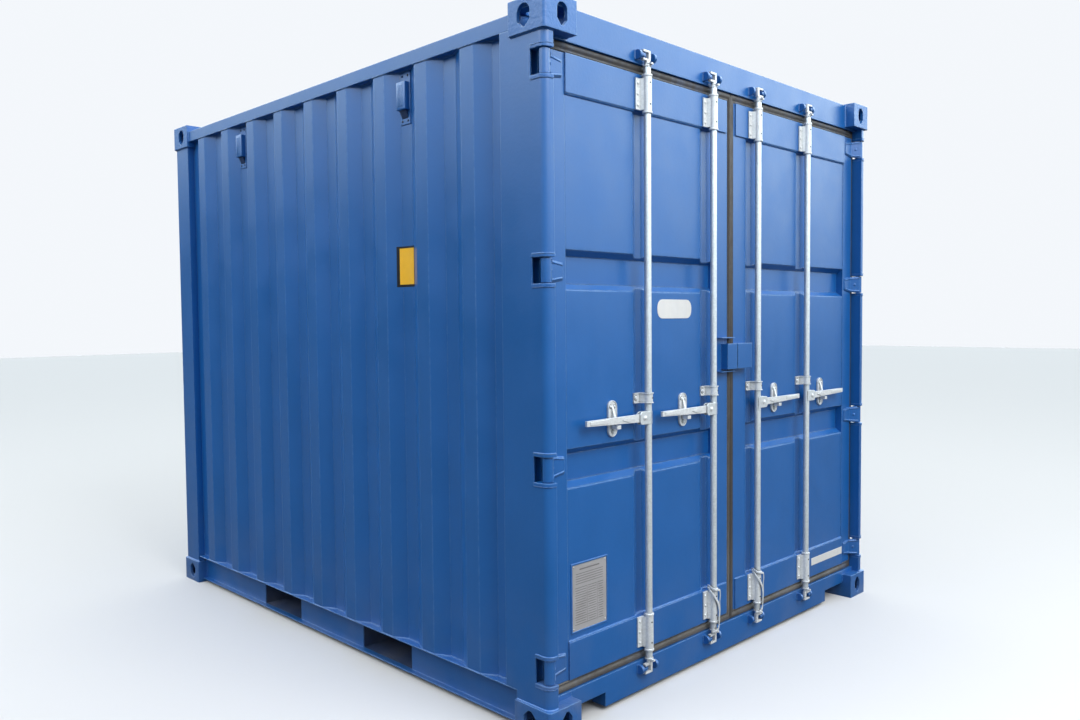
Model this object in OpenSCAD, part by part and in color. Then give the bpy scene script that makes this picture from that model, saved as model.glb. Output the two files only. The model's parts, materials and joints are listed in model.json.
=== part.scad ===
// Ten-foot freight container with double doors, fork pockets and corner castings.
// Length runs along X with the doors at +X, width along Y, height along Z.
// The origin is the middle of the footprint, at the underside of the corner castings.

/* [Overall size] */
// Length over the corner castings
body_l = 2991; // [2900:1:3100]
// Width over the corner castings
body_w = 2438; // [2400:1:2480]
// Height over the corner castings
body_h = 2591; // [2550:1:2900]
// How far posts and walls lie behind the faces of the castings
face_set = 10; // [8:1:13]
// Thickness of the pressed frame plate
frame_t = 6; // [4:0.5:7]
// Thickness of the light frame plate of headers, sills and pockets
light_t = 4; // [3:0.5:5]
// Thickness of the wall, roof and door sheet
sheet_t = 2; // [1.6:0.1:3]

/* [Corner castings] */
// Length of a casting along the box
casting_l = 178; // [176:0.5:182]
// Width of a casting across the box
casting_w = 162; // [158:0.5:166]
// Height of a casting
casting_h = 118; // [114:0.5:120]
// Wall of a casting at its end and side faces
casting_wall = 16; // [12:0.5:20]
// Plate of a casting around the lock slot
casting_plate = 28.5; // [24:0.5:30]
// Closed walls of a casting on the sides towards the box
casting_back = 10; // [8:0.5:12]
// Rounding of a casting's outer upright edge
casting_round = 14; // [8:1:18]
// Distance of the lock slot from the end face
slot_from_end = 101.5; // [100:0.5:103]
// Distance of the lock slot from the side face
slot_from_side = 89; // [87:0.5:91]
// Length of the lock slot
slot_l = 124.5; // [120:0.5:125]
// Width of the lock slot
slot_w = 63.5; // [60:0.5:66]
// Height of the side and end holes of a casting
hole_h = 79.5; // [74:0.5:80]
// Width of the side hole of a casting
side_hole_w = 63.5; // [58:0.5:66]
// Width of the end hole of a casting
end_hole_w = 51; // [46:0.5:56]
// Height of the pointed part of the side and end holes
hole_point_h = 22; // [16:1:28]

/* [Corner posts] */
// Rounding of a post's outer edge
post_round = 28; // [22:1:32]
// Width of a door post's tube across the box
post_tube_w = 44; // [40:1:46]
// Depth of a door post's tube along the box
post_tube_d = 108; // [106:1:112]
// How far the door stop stands out from the post's tube
stop_w = 22; // [16:1:26]
// Length of a door post's flat side, from the end of the box
door_flank = 233.5; // [220:0.5:250]
// Length of an end post's flat side, from the end of the box
end_flank = 161.5; // [140:0.5:176]
// Rounding of an end post's outer edge
end_post_round = 10; // [8:1:18]
// Width of an end post's flat end, from the side of the box
end_post_w = 110; // [90:1:130]

/* [Walls and roof] */
// Depth of the waves in a side wall
wave_d = 36; // [28:1:40]
// Pitch of the waves in a side wall
wave_pitch = 280; // [262:1:300]
// Width of a side wall wave's outer flat
wave_flat = 72; // [60:1:80]
// Run of a side wall wave's slope
wave_slope = 68; // [50:1:72]
// Distance from the door post's flank to the first outer flat
wave_first = 146; // [110:1:170]
// Depth of the waves in the end wall
end_wave_d = 46; // [36:1:50]
// Pitch of the waves in the end wall
end_wave_pitch = 250; // [240:1:260]
// Width of an end wall wave's outer flat
end_wave_flat = 110; // [90:1:120]
// Run of an end wall wave's slope
end_wave_slope = 18; // [14:1:30]
// Height of the ribs of the roof
roof_rib_h = 20; // [10:1:22]
// Pitch of the ribs of the roof
roof_rib_pitch = 209; // [190:1:230]
// Width of a roof rib's flat top
roof_rib_flat = 91; // [80:1:100]
// Run of a roof rib's slope
roof_rib_slope = 14; // [10:1:20]
// Distance of the roof ribs' ends from the edge of the box
roof_rib_inset = 110; // [90:1:140]
// How far the roof sheet's edge lies inside the top side rail's face
roof_lap = 12; // [6:1:20]

/* [Rails] */
// Side of the square top side rail
top_rail = 54; // [50:1:64]
// How far the top rails' underside lies below the top of the castings
top_rail_down = 91; // [81:1:111]
// Wall of the top rails
top_rail_t = 3; // [2:0.5:4]
// Upper face of the bottom side rail above the base
sill_rail_z = 153; // [140:1:158]
// Underside of the base frame above the base
under_z = 18; // [12:1:24]
// Plate of the bottom side rail
channel_t = 4.5; // [4:0.5:6]
// Width of the bottom side rail's top flange
channel_top_w = 48; // [44:1:56]
// Width of the bottom side rail's bottom flange
channel_foot_w = 30; // [24:1:40]
// Depth of the end rails along the box
end_rail_d = 60; // [58:1:70]
// Distance between the middles of the two fork pockets
pocket_gap = 900; // [850:1:1000]
// Clear width of a fork pocket
pocket_w = 360; // [340:1:380]
// Clear height of a fork pocket in the side rail
pocket_h = 115; // [100:1:118]
// Length of the strap plate under each mouth of a fork pocket
pocket_strap = 200; // [150:1:260]

/* [Floor] */
// Upper face of the floor above the base
floor_z = 165; // [158:1:175]
// Thickness of the plywood floor
floor_t = 28; // [24:1:30]
// Flange width of a cross member
member_w = 40; // [35:1:50]
// Distance from the middle of the box to the inmost cross members
member_first = 110; // [70:1:160]
// Distance from the middle of the box to the first cross member outside a pocket
member_outer = 760; // [700:1:800]
// Distance from the end of the box to the outmost cross members
member_end = 235.5; // [220:0.5:260]
// Cross members outside each pocket
member_count = 3; // [2:1:4]

/* [Door opening] */
// Depth of the header's and sill's face behind the end of the box
opening_set = 50; // [46:1:54]
// Height of the door header
header_h = 120; // [117:1:135]
// How far the header's top lies below the top of the castings
header_drop = 6; // [4:1:12]
// Upper face of the door sill above the base
sill_z = 138; // [130:1:150]
// How far the stop lips reach into the door opening at header and sill
stop_h = 18; // [14:1:22]
// Width of the notch beside each bottom casting at the door end
notch_w = 190; // [150:1:220]
// Upper face of that notch above the base
notch_z = 73; // [60:1:90]

/* [Doors] */
// Depth of the door leaf's outer face behind the end of the box
leaf_set = 60; // [58:1:62]
// Thickness of a door leaf's frame
leaf_t = 44; // [40:1:45]
// Clear gap between door parts and the frame around them
door_gap = 5; // [5:0.5:6]
// Height of the seal over and under a leaf
seal_h = 33; // [24:1:36]
// Width of the seal on the hinge side of a leaf
seal_side_w = 8; // [6:1:9]
// Width of the seal on the closing side of a leaf
seal_mid_w = 20; // [16:1:22]
// Gap between the two closing seals
seal_gap = 8; // [8:0.5:12]
// How far the closing line lies left of the middle of the box
split_off = 5; // [0:1:8]
// How far the seals lie behind the leaf's face
seal_set = 2; // [2:0.5:6]
// Gap between a post's tube and the leaf's hinge edge
hinge_edge_gap = 15; // [14:0.5:18]
// Width of a leaf's stile on the hinge side
hinge_stile_w = 90; // [70:1:100]
// Distance from the middle of the box to the far edge of the closing stiles
lock_stile_edge = 120; // [112:1:122]
// Height of the leaf frame's top and bottom bands
band_h = 138; // [120:1:150]
// How far the bands stand out from the leaf's face
band_proud = 7; // [3:0.5:8]
// Distance of the bands' ends from the leaf's closing edge
band_in = 12; // [8:1:20]
// How far the door sheet's fields lie behind the leaf's face
field_set = 2; // [1:0.5:4]
// Depth of the door sheet's upright channels below its fields
channel_d = 20; // [12:1:30]
// Half width of the channel floor behind a locking bar
channel_half = 19; // [14:1:20]
// Run of the slopes beside a channel
channel_slope = 34; // [24:1:34]
// Depth of the door sheet's cross grooves below its fields
groove_d = 33; // [24:1:34]
// Height of a cross groove over its slopes
groove_h = 144; // [120:1:160]
// Run of the slopes of a cross groove
groove_slope = 23; // [18:1:30]
// Middle of the lower cross groove above the base
groove_low_z = 948; // [900:1:980]
// Middle of the upper cross groove above the base
groove_high_z = 1666; // [1600:1:1700]

/* [Hinges] */
// Distance of the hinge pins from the end and side faces of the box
pin_set = 35; // [34:0.5:36]
// Radius of a hinge pin
pin_r = 11; // [9:0.5:12]
// Radius of a hinge knuckle
knuckle_r = 19; // [17:0.5:20]
// Running clearance around pins and locking bars
run_gap = 0.1; // [0.05:0.01:0.1]
// Height of a hinge blade
blade_h = 85; // [70:1:100]
// Height of a hinge blade at its end on the leaf
blade_tip_h = 56; // [44:1:68]
// Plate of a hinge blade
blade_t = 6; // [5:0.5:6]
// Distance from the pin at which the outside of a blade meets its flat
blade_bend = 48; // [44:1:54]
// Distance from the pin at which the inside of a blade meets its flat
blade_inner_bend = 40; // [36:1:44]
// How far a blade's outside draws in below the knuckle
blade_shoulder = 5; // [3:1:7]
// Length of the drawn-in part below the knuckle
blade_drop = 14; // [12:1:18]
// Distance from the pin's axis, both ways, at which the inside of a blade starts
blade_root = 6; // [4:1:8]
// Reach of a hinge blade from its pin
blade_reach = 106; // [95:1:115]
// Gap over and under a hinge blade
blade_gap = 3; // [2:0.5:5]
// Thickness of a hinge lug
lug_t = 12; // [8:1:16]
// How far the hinge lugs stand proud of the post
lug_proud = 2; // [1:0.5:3]
// Depth of the hinge pocket in the post, from the end of the box
pocket_d = 80; // [76:1:96]
// Middle of the lowest hinge above the base
hinge_low = 250; // [235:1:270]
// How far the middle of the highest hinge lies below the top of the castings
hinge_down = 223; // [215:1:240]
// Distance between the two lower hinges
hinge_low_step = 716; // [700:1:730]
// Distance between the two upper hinges
hinge_high_step = 710; // [695:1:725]

/* [Locking bars] */
// Distance of the inner locking bars from the middle of the box
bar_inner_y = 177; // [172:1:182]
// Distance of the outer locking bars from the middle of the box
bar_outer_y = 626; // [600:1:650]
// Depth of the bars' axes behind the end of the box
bar_set = 30; // [28:0.5:30.5]
// Radius of a locking bar
bar_r = 14; // [12:0.1:14]
// Outer radius of a bearing sleeve
sleeve_r = 18; // [16.5:0.5:19]
// Height of a bearing sleeve
sleeve_h = 150; // [120:1:170]
// Height of a bearing's base plate
bearing_plate_h = 120; // [100:1:125]
// Distance of a bearing's base plate from the leaf's upper or lower edge
bearing_in = 17; // [9:1:18]
// Reach of a bearing's base plate from the bar's axis
bearing_reach = 48; // [44:1:54]
// Distance from the bar's axis at which a bearing's web leaves its base plate
web_reach = 25; // [20:1:30]
// Plate of the bearings and guides
bearing_t = 6; // [5:0.5:8]
// Height of the guide strap at mid height
guide_h = 40; // [34:1:50]
// Middle of the guide strap above the base
guide_z = 1179; // [1160:1:1200]
// Reach of a guide strap's plate from the bar's axis
guide_reach = 56; // [54:1:56]
// Distance of a cam's middle from the edge of the door opening
cam_edge = 31; // [28:1:36]
// Height of a cam over its two claws
cam_h = 40; // [36:1:42]
// Height of one claw of a cam
claw_h = 8; // [6:0.5:9]
// Reach of a claw from the bar's axis
claw_reach = 30; // [26:1:32]
// Width of a claw
claw_w = 14; // [10:1:16]
// Rounding of a cam's back around the bar's axis
cam_back = 15; // [12:0.5:15]
// How far the mouth of a cam ends beyond the bar's axis
mouth_end = 2; // [0:0.5:4]
// Height of a cam's neck
neck_h = 16; // [14:1:20]
// Radius of a cam's neck
neck_r = 10; // [8:0.5:12]
// Height of a cam's collar
collar_h = 5; // [4:1:8]
// Radius of a cam's collar
collar_r = 17; // [14:0.5:17]
// Reach of the small tooth on a cam's neck
tooth_reach = 26; // [20:1:28]
// Height of that tooth
tooth_h = 7; // [5:0.5:8]
// Width of that tooth
tooth_w = 12; // [8:1:14]

/* [Keepers] */
// Half width of a keeper
keeper_half = 50; // [48:1:56]
// Width of a keeper's lug
keeper_lug_w = 12; // [8:1:12]
// Height of a keeper's lug
keeper_lug_h = 36; // [30:1:40]
// How far a keeper's lugs stand out from the header or sill
keeper_lug_d = 30; // [26:1:34]
// Height of a keeper's tongue
tongue_h = 12; // [8:0.5:14]
// Gap between a keeper's tongue and the back of the cam
tongue_gap = 5; // [5:0.5:8]

/* [Handles] */
// Height of the handles' pivots above the base
handle_z = 1103; // [1090:1:1110]
// Depth of the handles' middle behind the end of the box
handle_set = 27; // [26:0.5:28]
// Distance of a handle's pivot from the bar's axis
pivot_off = 35; // [32:0.5:38]
// Reach of a handle's tip from the bar's axis
handle_reach = 366; // [330:1:368]
// Thickness of a handle
handle_t = 10; // [8:0.5:11]
// Height of a handle at its root
handle_root_h = 32; // [26:1:34]
// Height of a handle at its tip
handle_tip_h = 20; // [16:1:24]
// How far a handle's tip lies above its pivot
tip_rise = 5; // [0:0.5:8]
// Length of the lozenge raised on a handle
lozenge_l = 70; // [50:1:90]
// Height of the lozenge
lozenge_h = 20; // [12:1:22]
// How far the lozenge stands out
lozenge_t = 3; // [2:0.5:4]
// Distance of the lozenge's middle from the pivot
lozenge_off = 96; // [80:1:110]
// Radius of a handle's pivot pin
pivot_r = 6; // [5:0.5:7]
// Height of the hub on the bar
hub_h = 50; // [44:1:54]
// Reach of the hub from the bar's axis
hub_reach = 64; // [56:1:68]
// Rounding of the hub's corners
hub_round = 13; // [8:1:20]
// Plate of the hub's two cheeks
cheek_t = 5; // [4:0.5:6]
// Side clearance between a handle and the cheeks
cheek_gap = 0.4; // [0.2:0.1:0.8]
// Distance of a handle catch from the bar's axis
catch_off = 186; // [180:1:210]
// Width of a catch plate
catch_w = 50; // [38:1:52]
// Height of a catch plate
catch_h = 138; // [115:1:145]
// Height of a catch's middle above the handle's pivot
catch_rise = 8; // [0:1:12]
// Thickness of a catch plate
catch_t = 7; // [5:0.5:8]
// Height of the catch's seat
seat_h = 14; // [10:1:18]
// Width of the catch's seat
seat_w = 22; // [16:1:34]
// Thickness of the gusset between a catch plate and its seat
gusset_t = 10; // [6:1:14]
// Height of the gusset's top above the handle's pivot
gusset_top = 58; // [40:1:60]
// Gap between a handle and its seat
seat_gap = 5; // [5:0.5:8]

/* [Lock box] */
// Middle of the lock box above the base
lock_z = 1320; // [1300:1:1340]
// Height of the lock box
lock_box_h = 111; // [100:1:120]
// Far edge of the lock box on the right leaf
lock_box_edge = 111; // [105:1:130]
// Far edge of the lock box's other half on the left leaf
lock_half_edge = 82; // [70:1:95]
// How far the lock box stands out from the leaf
lock_box_d = 40; // [38:1:46]
// Distance of the lock box's open edge from the closing line
lock_set = 3; // [2.5:0.5:6]
// Distance of the lock bracket's lips from the closing line
lock_lip_set = 7; // [6:0.5:12]
// Middle of the lock bracket above the base
lock_bracket_z = 1328; // [1320:1:1332]
// Height of the lock bracket
lock_bracket_h = 151; // [145:1:160]
// Far edge of the lock bracket from the middle of the box
lock_bracket_edge = 115; // [105:1:120]
// Near edge of the lock bracket's plate from the middle of the box
lock_plate_edge = 60; // [50:1:70]
// How far the lock bracket stands out from the leaf
lock_bracket_d = 32; // [26:1:36]

/* [Vents and plate] */
// Width of a vent's flange
vent_w = 64; // [56:1:68]
// Height of a vent's flange
vent_h = 172; // [150:1:190]
// Height of a vent's hood
hood_h = 96; // [80:1:110]
// Width of a vent's hood
hood_w = 56; // [48:1:60]
// How far a vent's hood stands out of the wave
hood_d = 27; // [20:1:32]
// How far the middle of the vents lies below the top of the castings
vent_down = 203; // [191:1:240]
// Thickness of a vent's flange
vent_t = 3; // [2:0.5:4]
// Width of the data plate
plate_w = 190; // [150:1:210]
// Height of the data plate
plate_h = 245; // [200:1:260]
// Thickness of the data plate
plate_t = 1.5; // [1:0.1:2]
// Distance of the data plate from the leaf's stile at the hinges
plate_gap = 23; // [12:1:60]
// Middle of the data plate above the base
plate_z = 468; // [450:1:480]

/* [Hidden] */
$fn = 48;
// Reach of a cutting body past the face that it cuts
cut = 1;
end_x = body_l / 2;
side_y = body_w / 2;
wall_y = side_y - face_set;
casting_in_x = end_x - casting_l;
casting_in_y = side_y - casting_w;
post_in_y = wall_y - post_tube_w;
stop_x = end_x - face_set - post_tube_d;
stop_y = post_in_y - stop_w;
post_top_z = body_h - casting_h;
header_x = end_x - opening_set;
header_top_z = body_h - header_drop;
header_z = header_top_z - header_h;
rail_in_y = wall_y - channel_top_w;
wall_x0 = -end_x + end_flank;
wall_x1 = end_x - door_flank;
end_wall_y = side_y - end_post_w;
end_rail_x = -end_x + face_set + end_rail_d;
top_rail_z = body_h - top_rail_down;
roof_z = top_rail_z + top_rail;
floor_low_z = floor_z - floor_t;
pocket_x = pocket_gap / 2;
leaf_x = end_x - leaf_set;
leaf_hinge_y = post_in_y - hinge_edge_gap;
leaf_z0 = sill_z + door_gap + seal_h;
leaf_z1 = header_z - door_gap - seal_h;
panel_z0 = leaf_z0 + band_h;
panel_z1 = leaf_z1 - band_h;
pin_x = end_x - pin_set;
pin_y = side_y - pin_set;
bar_x = end_x - bar_set;
bar_ys = [bar_inner_y, bar_outer_y];
handle_x = end_x - handle_set;
field_x = leaf_x - field_set;
wave_gap = wave_pitch - wave_flat - 2 * wave_slope;
wave_count = floor((wall_x1 - wall_x0 - wave_first - wave_flat - wave_slope) / wave_pitch) + 1;
vent_waves = [1, 6];
vent_z = body_h - vent_down;
hinge_zs = [hinge_low, hinge_low + hinge_low_step,
            body_h - hinge_down - hinge_high_step, body_h - hinge_down];
member_pitch = (end_x - member_end - member_outer) / (member_count - 1);
plate_y = leaf_hinge_y - hinge_stile_w - plate_gap - plate_w / 2;
cam_top_z = header_z + cam_edge;
cam_low_z = sill_z - cam_edge;
bar_low_z = cam_low_z + cam_h / 2 + neck_h + collar_h;
bar_high_z = cam_top_z - cam_h / 2 - neck_h - collar_h;
band_x = leaf_x + band_proud;
lug_r = post_round + lug_proud;

// Places its children at one corner of the box, with the box towards -X, -Y and -Z
module at_corner(sx, sy, sz) {
    translate([sx * end_x, sy * side_y, sz > 0 ? body_h : 0])
        mirror([sx < 0 ? 1 : 0, 0, 0])
            mirror([0, sy < 0 ? 1 : 0, 0])
                mirror([0, 0, sz < 0 ? 1 : 0])
                    children();
}

// Places its children at one upright edge of the box, with the box towards -X and -Y
module at_edge(sx, sy) {
    at_corner(sx, sy, 1) translate([0, 0, -body_h]) children();
}

// Turns what is drawn for the right side, +Y, into the piece of the given side
module on_side(side) {
    mirror([0, side < 0 ? 1 : 0, 0]) children();
}

// A box between two opposite corners
module block(low, high) {
    translate(low) cube(high - low);
}

// A rectangle between two corners, rounded at the upper right one
module edge_rect(low, high, r) {
    size = high - low;
    translate(low) intersection() {
        square(size);
        union() {
            square([size[0] - r, size[1]]);
            square([size[0], size[1] - r]);
            translate(size - [r, r]) circle(r = r);
        }
    }
}

// Extrudes an outline drawn as X and Z along Y, between two values of Y
module along_y(y0, y1) {
    translate([0, y1, 0]) rotate([90, 0, 0]) linear_extrude(y1 - y0) children();
}

// Extrudes an outline drawn as Y and Z along X, between two values of X
module along_x(x0, x1) {
    translate([x0, 0, 0]) rotate([90, 0, 90]) linear_extrude(x1 - x0) children();
}

// Extrudes an outline drawn as X and Y upwards, between two heights
module upright(z0, z1) {
    translate([0, 0, z0]) linear_extrude(z1 - z0) children();
}

// The sheet between a line of points and the same line moved by t
module sheet(line, t) {
    polygon(concat(line, [for (i = [len(line) - 1 : -1 : 0]) line[i] - t]));
}

// Corner castings

// The slot for a twist lock
module slot_outline() {
    half = (slot_l - slot_w) / 2;
    for (s = [-1, 1]) translate([s * half, 0]) circle(d = slot_w);
    square([2 * half, slot_w], center = true);
}

// The side or end hole, round at the top and pointed below
module hole_outline(w) {
    top = hole_h / 2 - w / 2;
    foot = -hole_h / 2 + hole_point_h;
    translate([0, top]) circle(d = w);
    translate([-w / 2, foot]) square([w, top - foot]);
    polygon([[-w / 2, foot], [w / 2, foot], [w / 8, -hole_h / 2], [-w / 8, -hole_h / 2]]);
}

module castings(sz) {
    color("steelblue") for (sx = [-1, 1], sy = [-1, 1]) at_corner(sx, sy, sz) difference() {
        upright(-casting_h, 0)
            edge_rect([-casting_l, -casting_w], [0, 0], casting_round);
        block([casting_back - casting_l, casting_back - casting_w, casting_back - casting_h],
              [-casting_wall, -casting_wall, -casting_plate]);
        upright(-casting_plate - cut, cut)
            translate([-slot_from_end, -slot_from_side]) slot_outline();
        translate([-slot_from_end, 0, -casting_h / 2])
            along_y(-casting_wall - cut, cut) hole_outline(side_hole_w);
        translate([0, -slot_from_side, -casting_h / 2])
            along_x(-casting_wall - cut, cut) hole_outline(end_hole_w);
    }
}

// Posts

// Outline of a door post's tube, with the end and side of the box at zero
module post_tube() {
    low = [-face_set - post_tube_d, -face_set - post_tube_w];
    high = [-face_set, -face_set];
    plate = [frame_t, frame_t];
    difference() {
        edge_rect(low, high, post_round);
        edge_rect(low + plate, high - plate, post_round - frame_t);
    }
}

module hinge_pockets() {
    h = blade_h + 2 * (blade_gap + lug_t);
    for (z = hinge_zs)
        block([-pocket_d, -face_set - post_tube_w - cut, z - h / 2], [cut, cut, z + h / 2]);
}

module door_post(side) {
    color("steelblue") at_edge(1, side) difference() {
        union() {
            upright(casting_h, post_top_z) {
                post_tube();
                translate([-casting_l, -face_set - frame_t])
                    square([casting_l - face_set - post_tube_d, frame_t]);
            }
            upright(sill_z, header_z)
                translate([-face_set - post_tube_d, -face_set - post_tube_w - stop_w])
                    square([frame_t, stop_w]);
            upright(sill_rail_z, top_rail_z) {
                translate([-door_flank, -face_set - frame_t])
                    square([door_flank - casting_l, frame_t]);
                translate([-door_flank, -face_set - wave_d - sheet_t])
                    square([frame_t, wave_d + sheet_t]);
            }
        }
        hinge_pockets();
    }
    color("steelblue") on_side(side) for (zs = [[casting_h, sill_z], [header_z, post_top_z]])
        block([stop_x, casting_in_y, zs[0]], [header_x, post_in_y, zs[1]]);
}

module end_post(side) {
    color("steelblue") at_edge(-1, side) upright(casting_h, post_top_z) difference() {
        edge_rect([-end_flank, -end_post_w], [-face_set, -face_set], end_post_round);
        edge_rect([-end_flank + frame_t, -end_post_w + frame_t],
                  [-face_set - frame_t, -face_set - frame_t], end_post_round - frame_t);
        translate([-end_flank - cut, -end_post_w - cut])
            square([end_flank - face_set - end_wave_d - sheet_t + cut,
                    end_post_w - face_set - wave_d - sheet_t + cut]);
    }
}

// Rails

module top_side_rail(side) {
    color("steelblue") on_side(side) along_x(-casting_in_x, casting_in_x) difference() {
        translate([wall_y - top_rail, top_rail_z]) square(top_rail);
        translate([wall_y - top_rail + top_rail_t, top_rail_z + top_rail_t])
            square(top_rail - 2 * top_rail_t);
    }
}

module bottom_side_rail(side) {
    color("steelblue") on_side(side) difference() {
        along_x(-casting_in_x, casting_in_x) {
            translate([rail_in_y, under_z]) square([channel_t, sill_rail_z - under_z]);
            translate([rail_in_y, sill_rail_z - channel_t]) square([channel_top_w, channel_t]);
            translate([rail_in_y, under_z]) square([channel_foot_w, channel_t]);
        }
        for (s = [-1, 1])
            block([s * pocket_x - pocket_w / 2, rail_in_y - cut, under_z + channel_t],
                  [s * pocket_x + pocket_w / 2, rail_in_y + channel_t + cut,
                   under_z + channel_t + pocket_h]);
    }
}

// Outline of the box between two corners, hollow with walls of thickness t
module tube_outline(low, high, t) {
    difference() {
        translate(low) square(high - low);
        translate(low + [t, t]) square(high - low - 2 * [t, t]);
    }
}

module door_header() {
    color("steelblue") {
        along_y(-casting_in_y, casting_in_y)
            tube_outline([stop_x, header_z], [header_x, header_top_z], light_t);
        block([stop_x, -stop_y, header_z - stop_h], [stop_x + frame_t, stop_y, header_z]);
    }
}

module door_sill() {
    color("steelblue") {
        difference() {
            along_y(-casting_in_y, casting_in_y) {
                translate([header_x - light_t, under_z]) square([light_t, sill_z - under_z]);
                translate([stop_x, sill_z - light_t]) square([header_x - stop_x, light_t]);
                translate([stop_x, under_z]) square([header_x - stop_x, light_t]);
                translate([stop_x, under_z]) square([light_t, sill_z - under_z]);
            }
            for (side = [-1, 1]) on_side(side)
                block([stop_x - cut, casting_in_y - notch_w, under_z - cut],
                      [header_x + cut, casting_in_y + cut, notch_z]);
        }
        for (side = [-1, 1]) on_side(side) {
            block([stop_x, casting_in_y - notch_w - light_t, under_z],
                  [header_x, casting_in_y - notch_w, notch_z + light_t]);
            block([stop_x, casting_in_y - notch_w, notch_z],
                  [header_x, casting_in_y, notch_z + light_t]);
        }
        block([stop_x, -stop_y, sill_z], [stop_x + frame_t, stop_y, sill_z + stop_h]);
    }
}

module end_top_rail() {
    color("steelblue") along_y(-casting_in_y, casting_in_y)
        tube_outline([-end_x + face_set, top_rail_z], [end_rail_x, roof_z], top_rail_t);
}

module end_bottom_rail() {
    color("steelblue") {
        along_y(-casting_in_y, casting_in_y)
            tube_outline([-end_x + face_set, under_z], [end_rail_x, sill_z], light_t);
        for (side = [-1, 1]) on_side(side)
            block([-end_x + face_set, casting_in_y, casting_h], [end_rail_x, end_wall_y, sill_z]);
    }
}

// Walls and roof

// Door-side edge of the outer flat of wave k
function wave_x(k) = wall_x1 - wave_first - k * wave_pitch;

// Line of a side wall from the door post to the end post, as length and depth
function side_line() = concat(
    [[wall_x1, -wave_d]],
    [for (k = [0 : wave_count - 1], p = [[wave_slope, -wave_d], [0, 0], [-wave_flat, 0],
                                         [-wave_flat - wave_slope, -wave_d]])
        [wave_x(k) + p[0], p[1]]],
    [[wall_x0, -wave_d]]);

module side_wall(side) {
    color("royalblue") on_side(side) difference() {
        upright(sill_rail_z, top_rail_z) translate([0, wall_y]) sheet(side_line(), [0, sheet_t]);
        block([-end_x, casting_in_y, post_top_z], [-casting_in_x, side_y, body_h]);
    }
}

// Line of the end wall, as depth and width
function end_line() =
    let (n = floor((2 * end_wall_y - end_wave_flat - 2 * end_wave_slope) / end_wave_pitch) + 1,
         first = -(n - 1) * end_wave_pitch / 2,
         half = end_wave_flat / 2)
    concat([[end_wave_d, -end_wall_y]],
           [for (k = [0 : n - 1], p = [[end_wave_d, -half - end_wave_slope], [0, -half],
                                       [0, half], [end_wave_d, half + end_wave_slope]])
               [p[0], first + k * end_wave_pitch + p[1]]],
           [[end_wave_d, end_wall_y]]);

module end_wall() {
    color("royalblue") difference() {
        upright(sill_z, top_rail_z)
            translate([-end_x + face_set, 0]) sheet(end_line(), [-sheet_t, 0]);
        for (side = [-1, 1]) on_side(side)
            block([-end_x, casting_in_y, post_top_z], [-casting_in_x, side_y, body_h]);
    }
}

// Everything below the roof's ribbed surface, lowered by drop
module roof_mass(drop) {
    x0 = -end_x + face_set;
    x1 = stop_x;
    n = floor((x1 - x0 - 2 * roof_rib_slope - roof_rib_flat) / roof_rib_pitch);
    first = (x0 + x1) / 2 - (n - 1) * roof_rib_pitch / 2;
    half = roof_rib_flat / 2;
    y1 = side_y - roof_rib_inset;
    low = sheet_t - drop;
    high = low + roof_rib_h;
    base = -roof_rib_h;
    translate([0, 0, roof_z]) intersection() {
        along_y(-wall_y, wall_y) polygon(concat(
            [[x0, base], [x0, low]],
            [for (k = [0 : n - 1], p = [[-half - roof_rib_slope, low], [-half, high],
                                        [half, high], [half + roof_rib_slope, low]])
                [first + k * roof_rib_pitch + p[0], p[1]]],
            [[x1, low], [x1, base]]));
        along_x(x0 - cut, x1 + cut) polygon([
            [-wall_y + roof_lap, base], [-wall_y + roof_lap, low], [-y1, low],
            [-y1 + roof_rib_slope, high], [y1 - roof_rib_slope, high], [y1, low],
            [wall_y - roof_lap, low], [wall_y - roof_lap, base]]);
    }
}

module roof() {
    color("royalblue") difference() {
        roof_mass(0);
        roof_mass(sheet_t);
        block([-end_x, -side_y, roof_z - 2 * roof_rib_h], [end_x, side_y, roof_z]);
        for (sx = [-1, 1], sy = [-1, 1]) at_corner(sx, sy, 1)
            block([-casting_l, -casting_w, -casting_h], [cut, cut, cut]);
    }
}

// Floor and base

module floor_board() {
    color("tan")
        block([end_rail_x, -rail_in_y, floor_low_z], [stop_x, rail_in_y, floor_z]);
}

module cross_members() {
    xs = concat([member_first], [for (k = [0 : member_count - 1]) member_outer + k * member_pitch]);
    color("steelblue") for (x = xs, s = [-1, 1])
        translate([s * x - member_w / 2, 0, 0]) along_y(-rail_in_y, rail_in_y) {
            translate([0, under_z]) square([light_t, floor_low_z - under_z]);
            translate([0, under_z]) square([member_w, light_t]);
            translate([0, floor_low_z - light_t]) square([member_w, light_t]);
        }
}

module fork_pockets() {
    half = pocket_w / 2;
    color("steelblue") for (s = [-1, 1]) translate([s * pocket_x, 0, 0]) {
        along_y(-rail_in_y, rail_in_y) difference() {
            translate([-half - light_t, under_z])
                square([pocket_w + 2 * light_t, floor_low_z - under_z]);
            translate([-half, under_z - cut]) square([pocket_w, floor_low_z - light_t - under_z + cut]);
        }
        for (side = [-1, 1]) on_side(side)
            block([-half, rail_in_y - pocket_strap, under_z], [half, rail_in_y, under_z + light_t]);
    }
}

// Doors

// Nearest edge of the leaf's frame to the middle, on the given side
function leaf_edge(side) = seal_mid_w + seal_gap / 2 - side * split_off;

// The face of a leaf as height and distance from the middle, inside the given margins
module leaf_outline(side, hinge_out, mid_out, up, down) {
    translate([leaf_edge(side) - mid_out, leaf_z0 - down])
        square([leaf_hinge_y + hinge_out - leaf_edge(side) + mid_out,
                leaf_z1 - leaf_z0 + up + down]);
}

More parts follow.
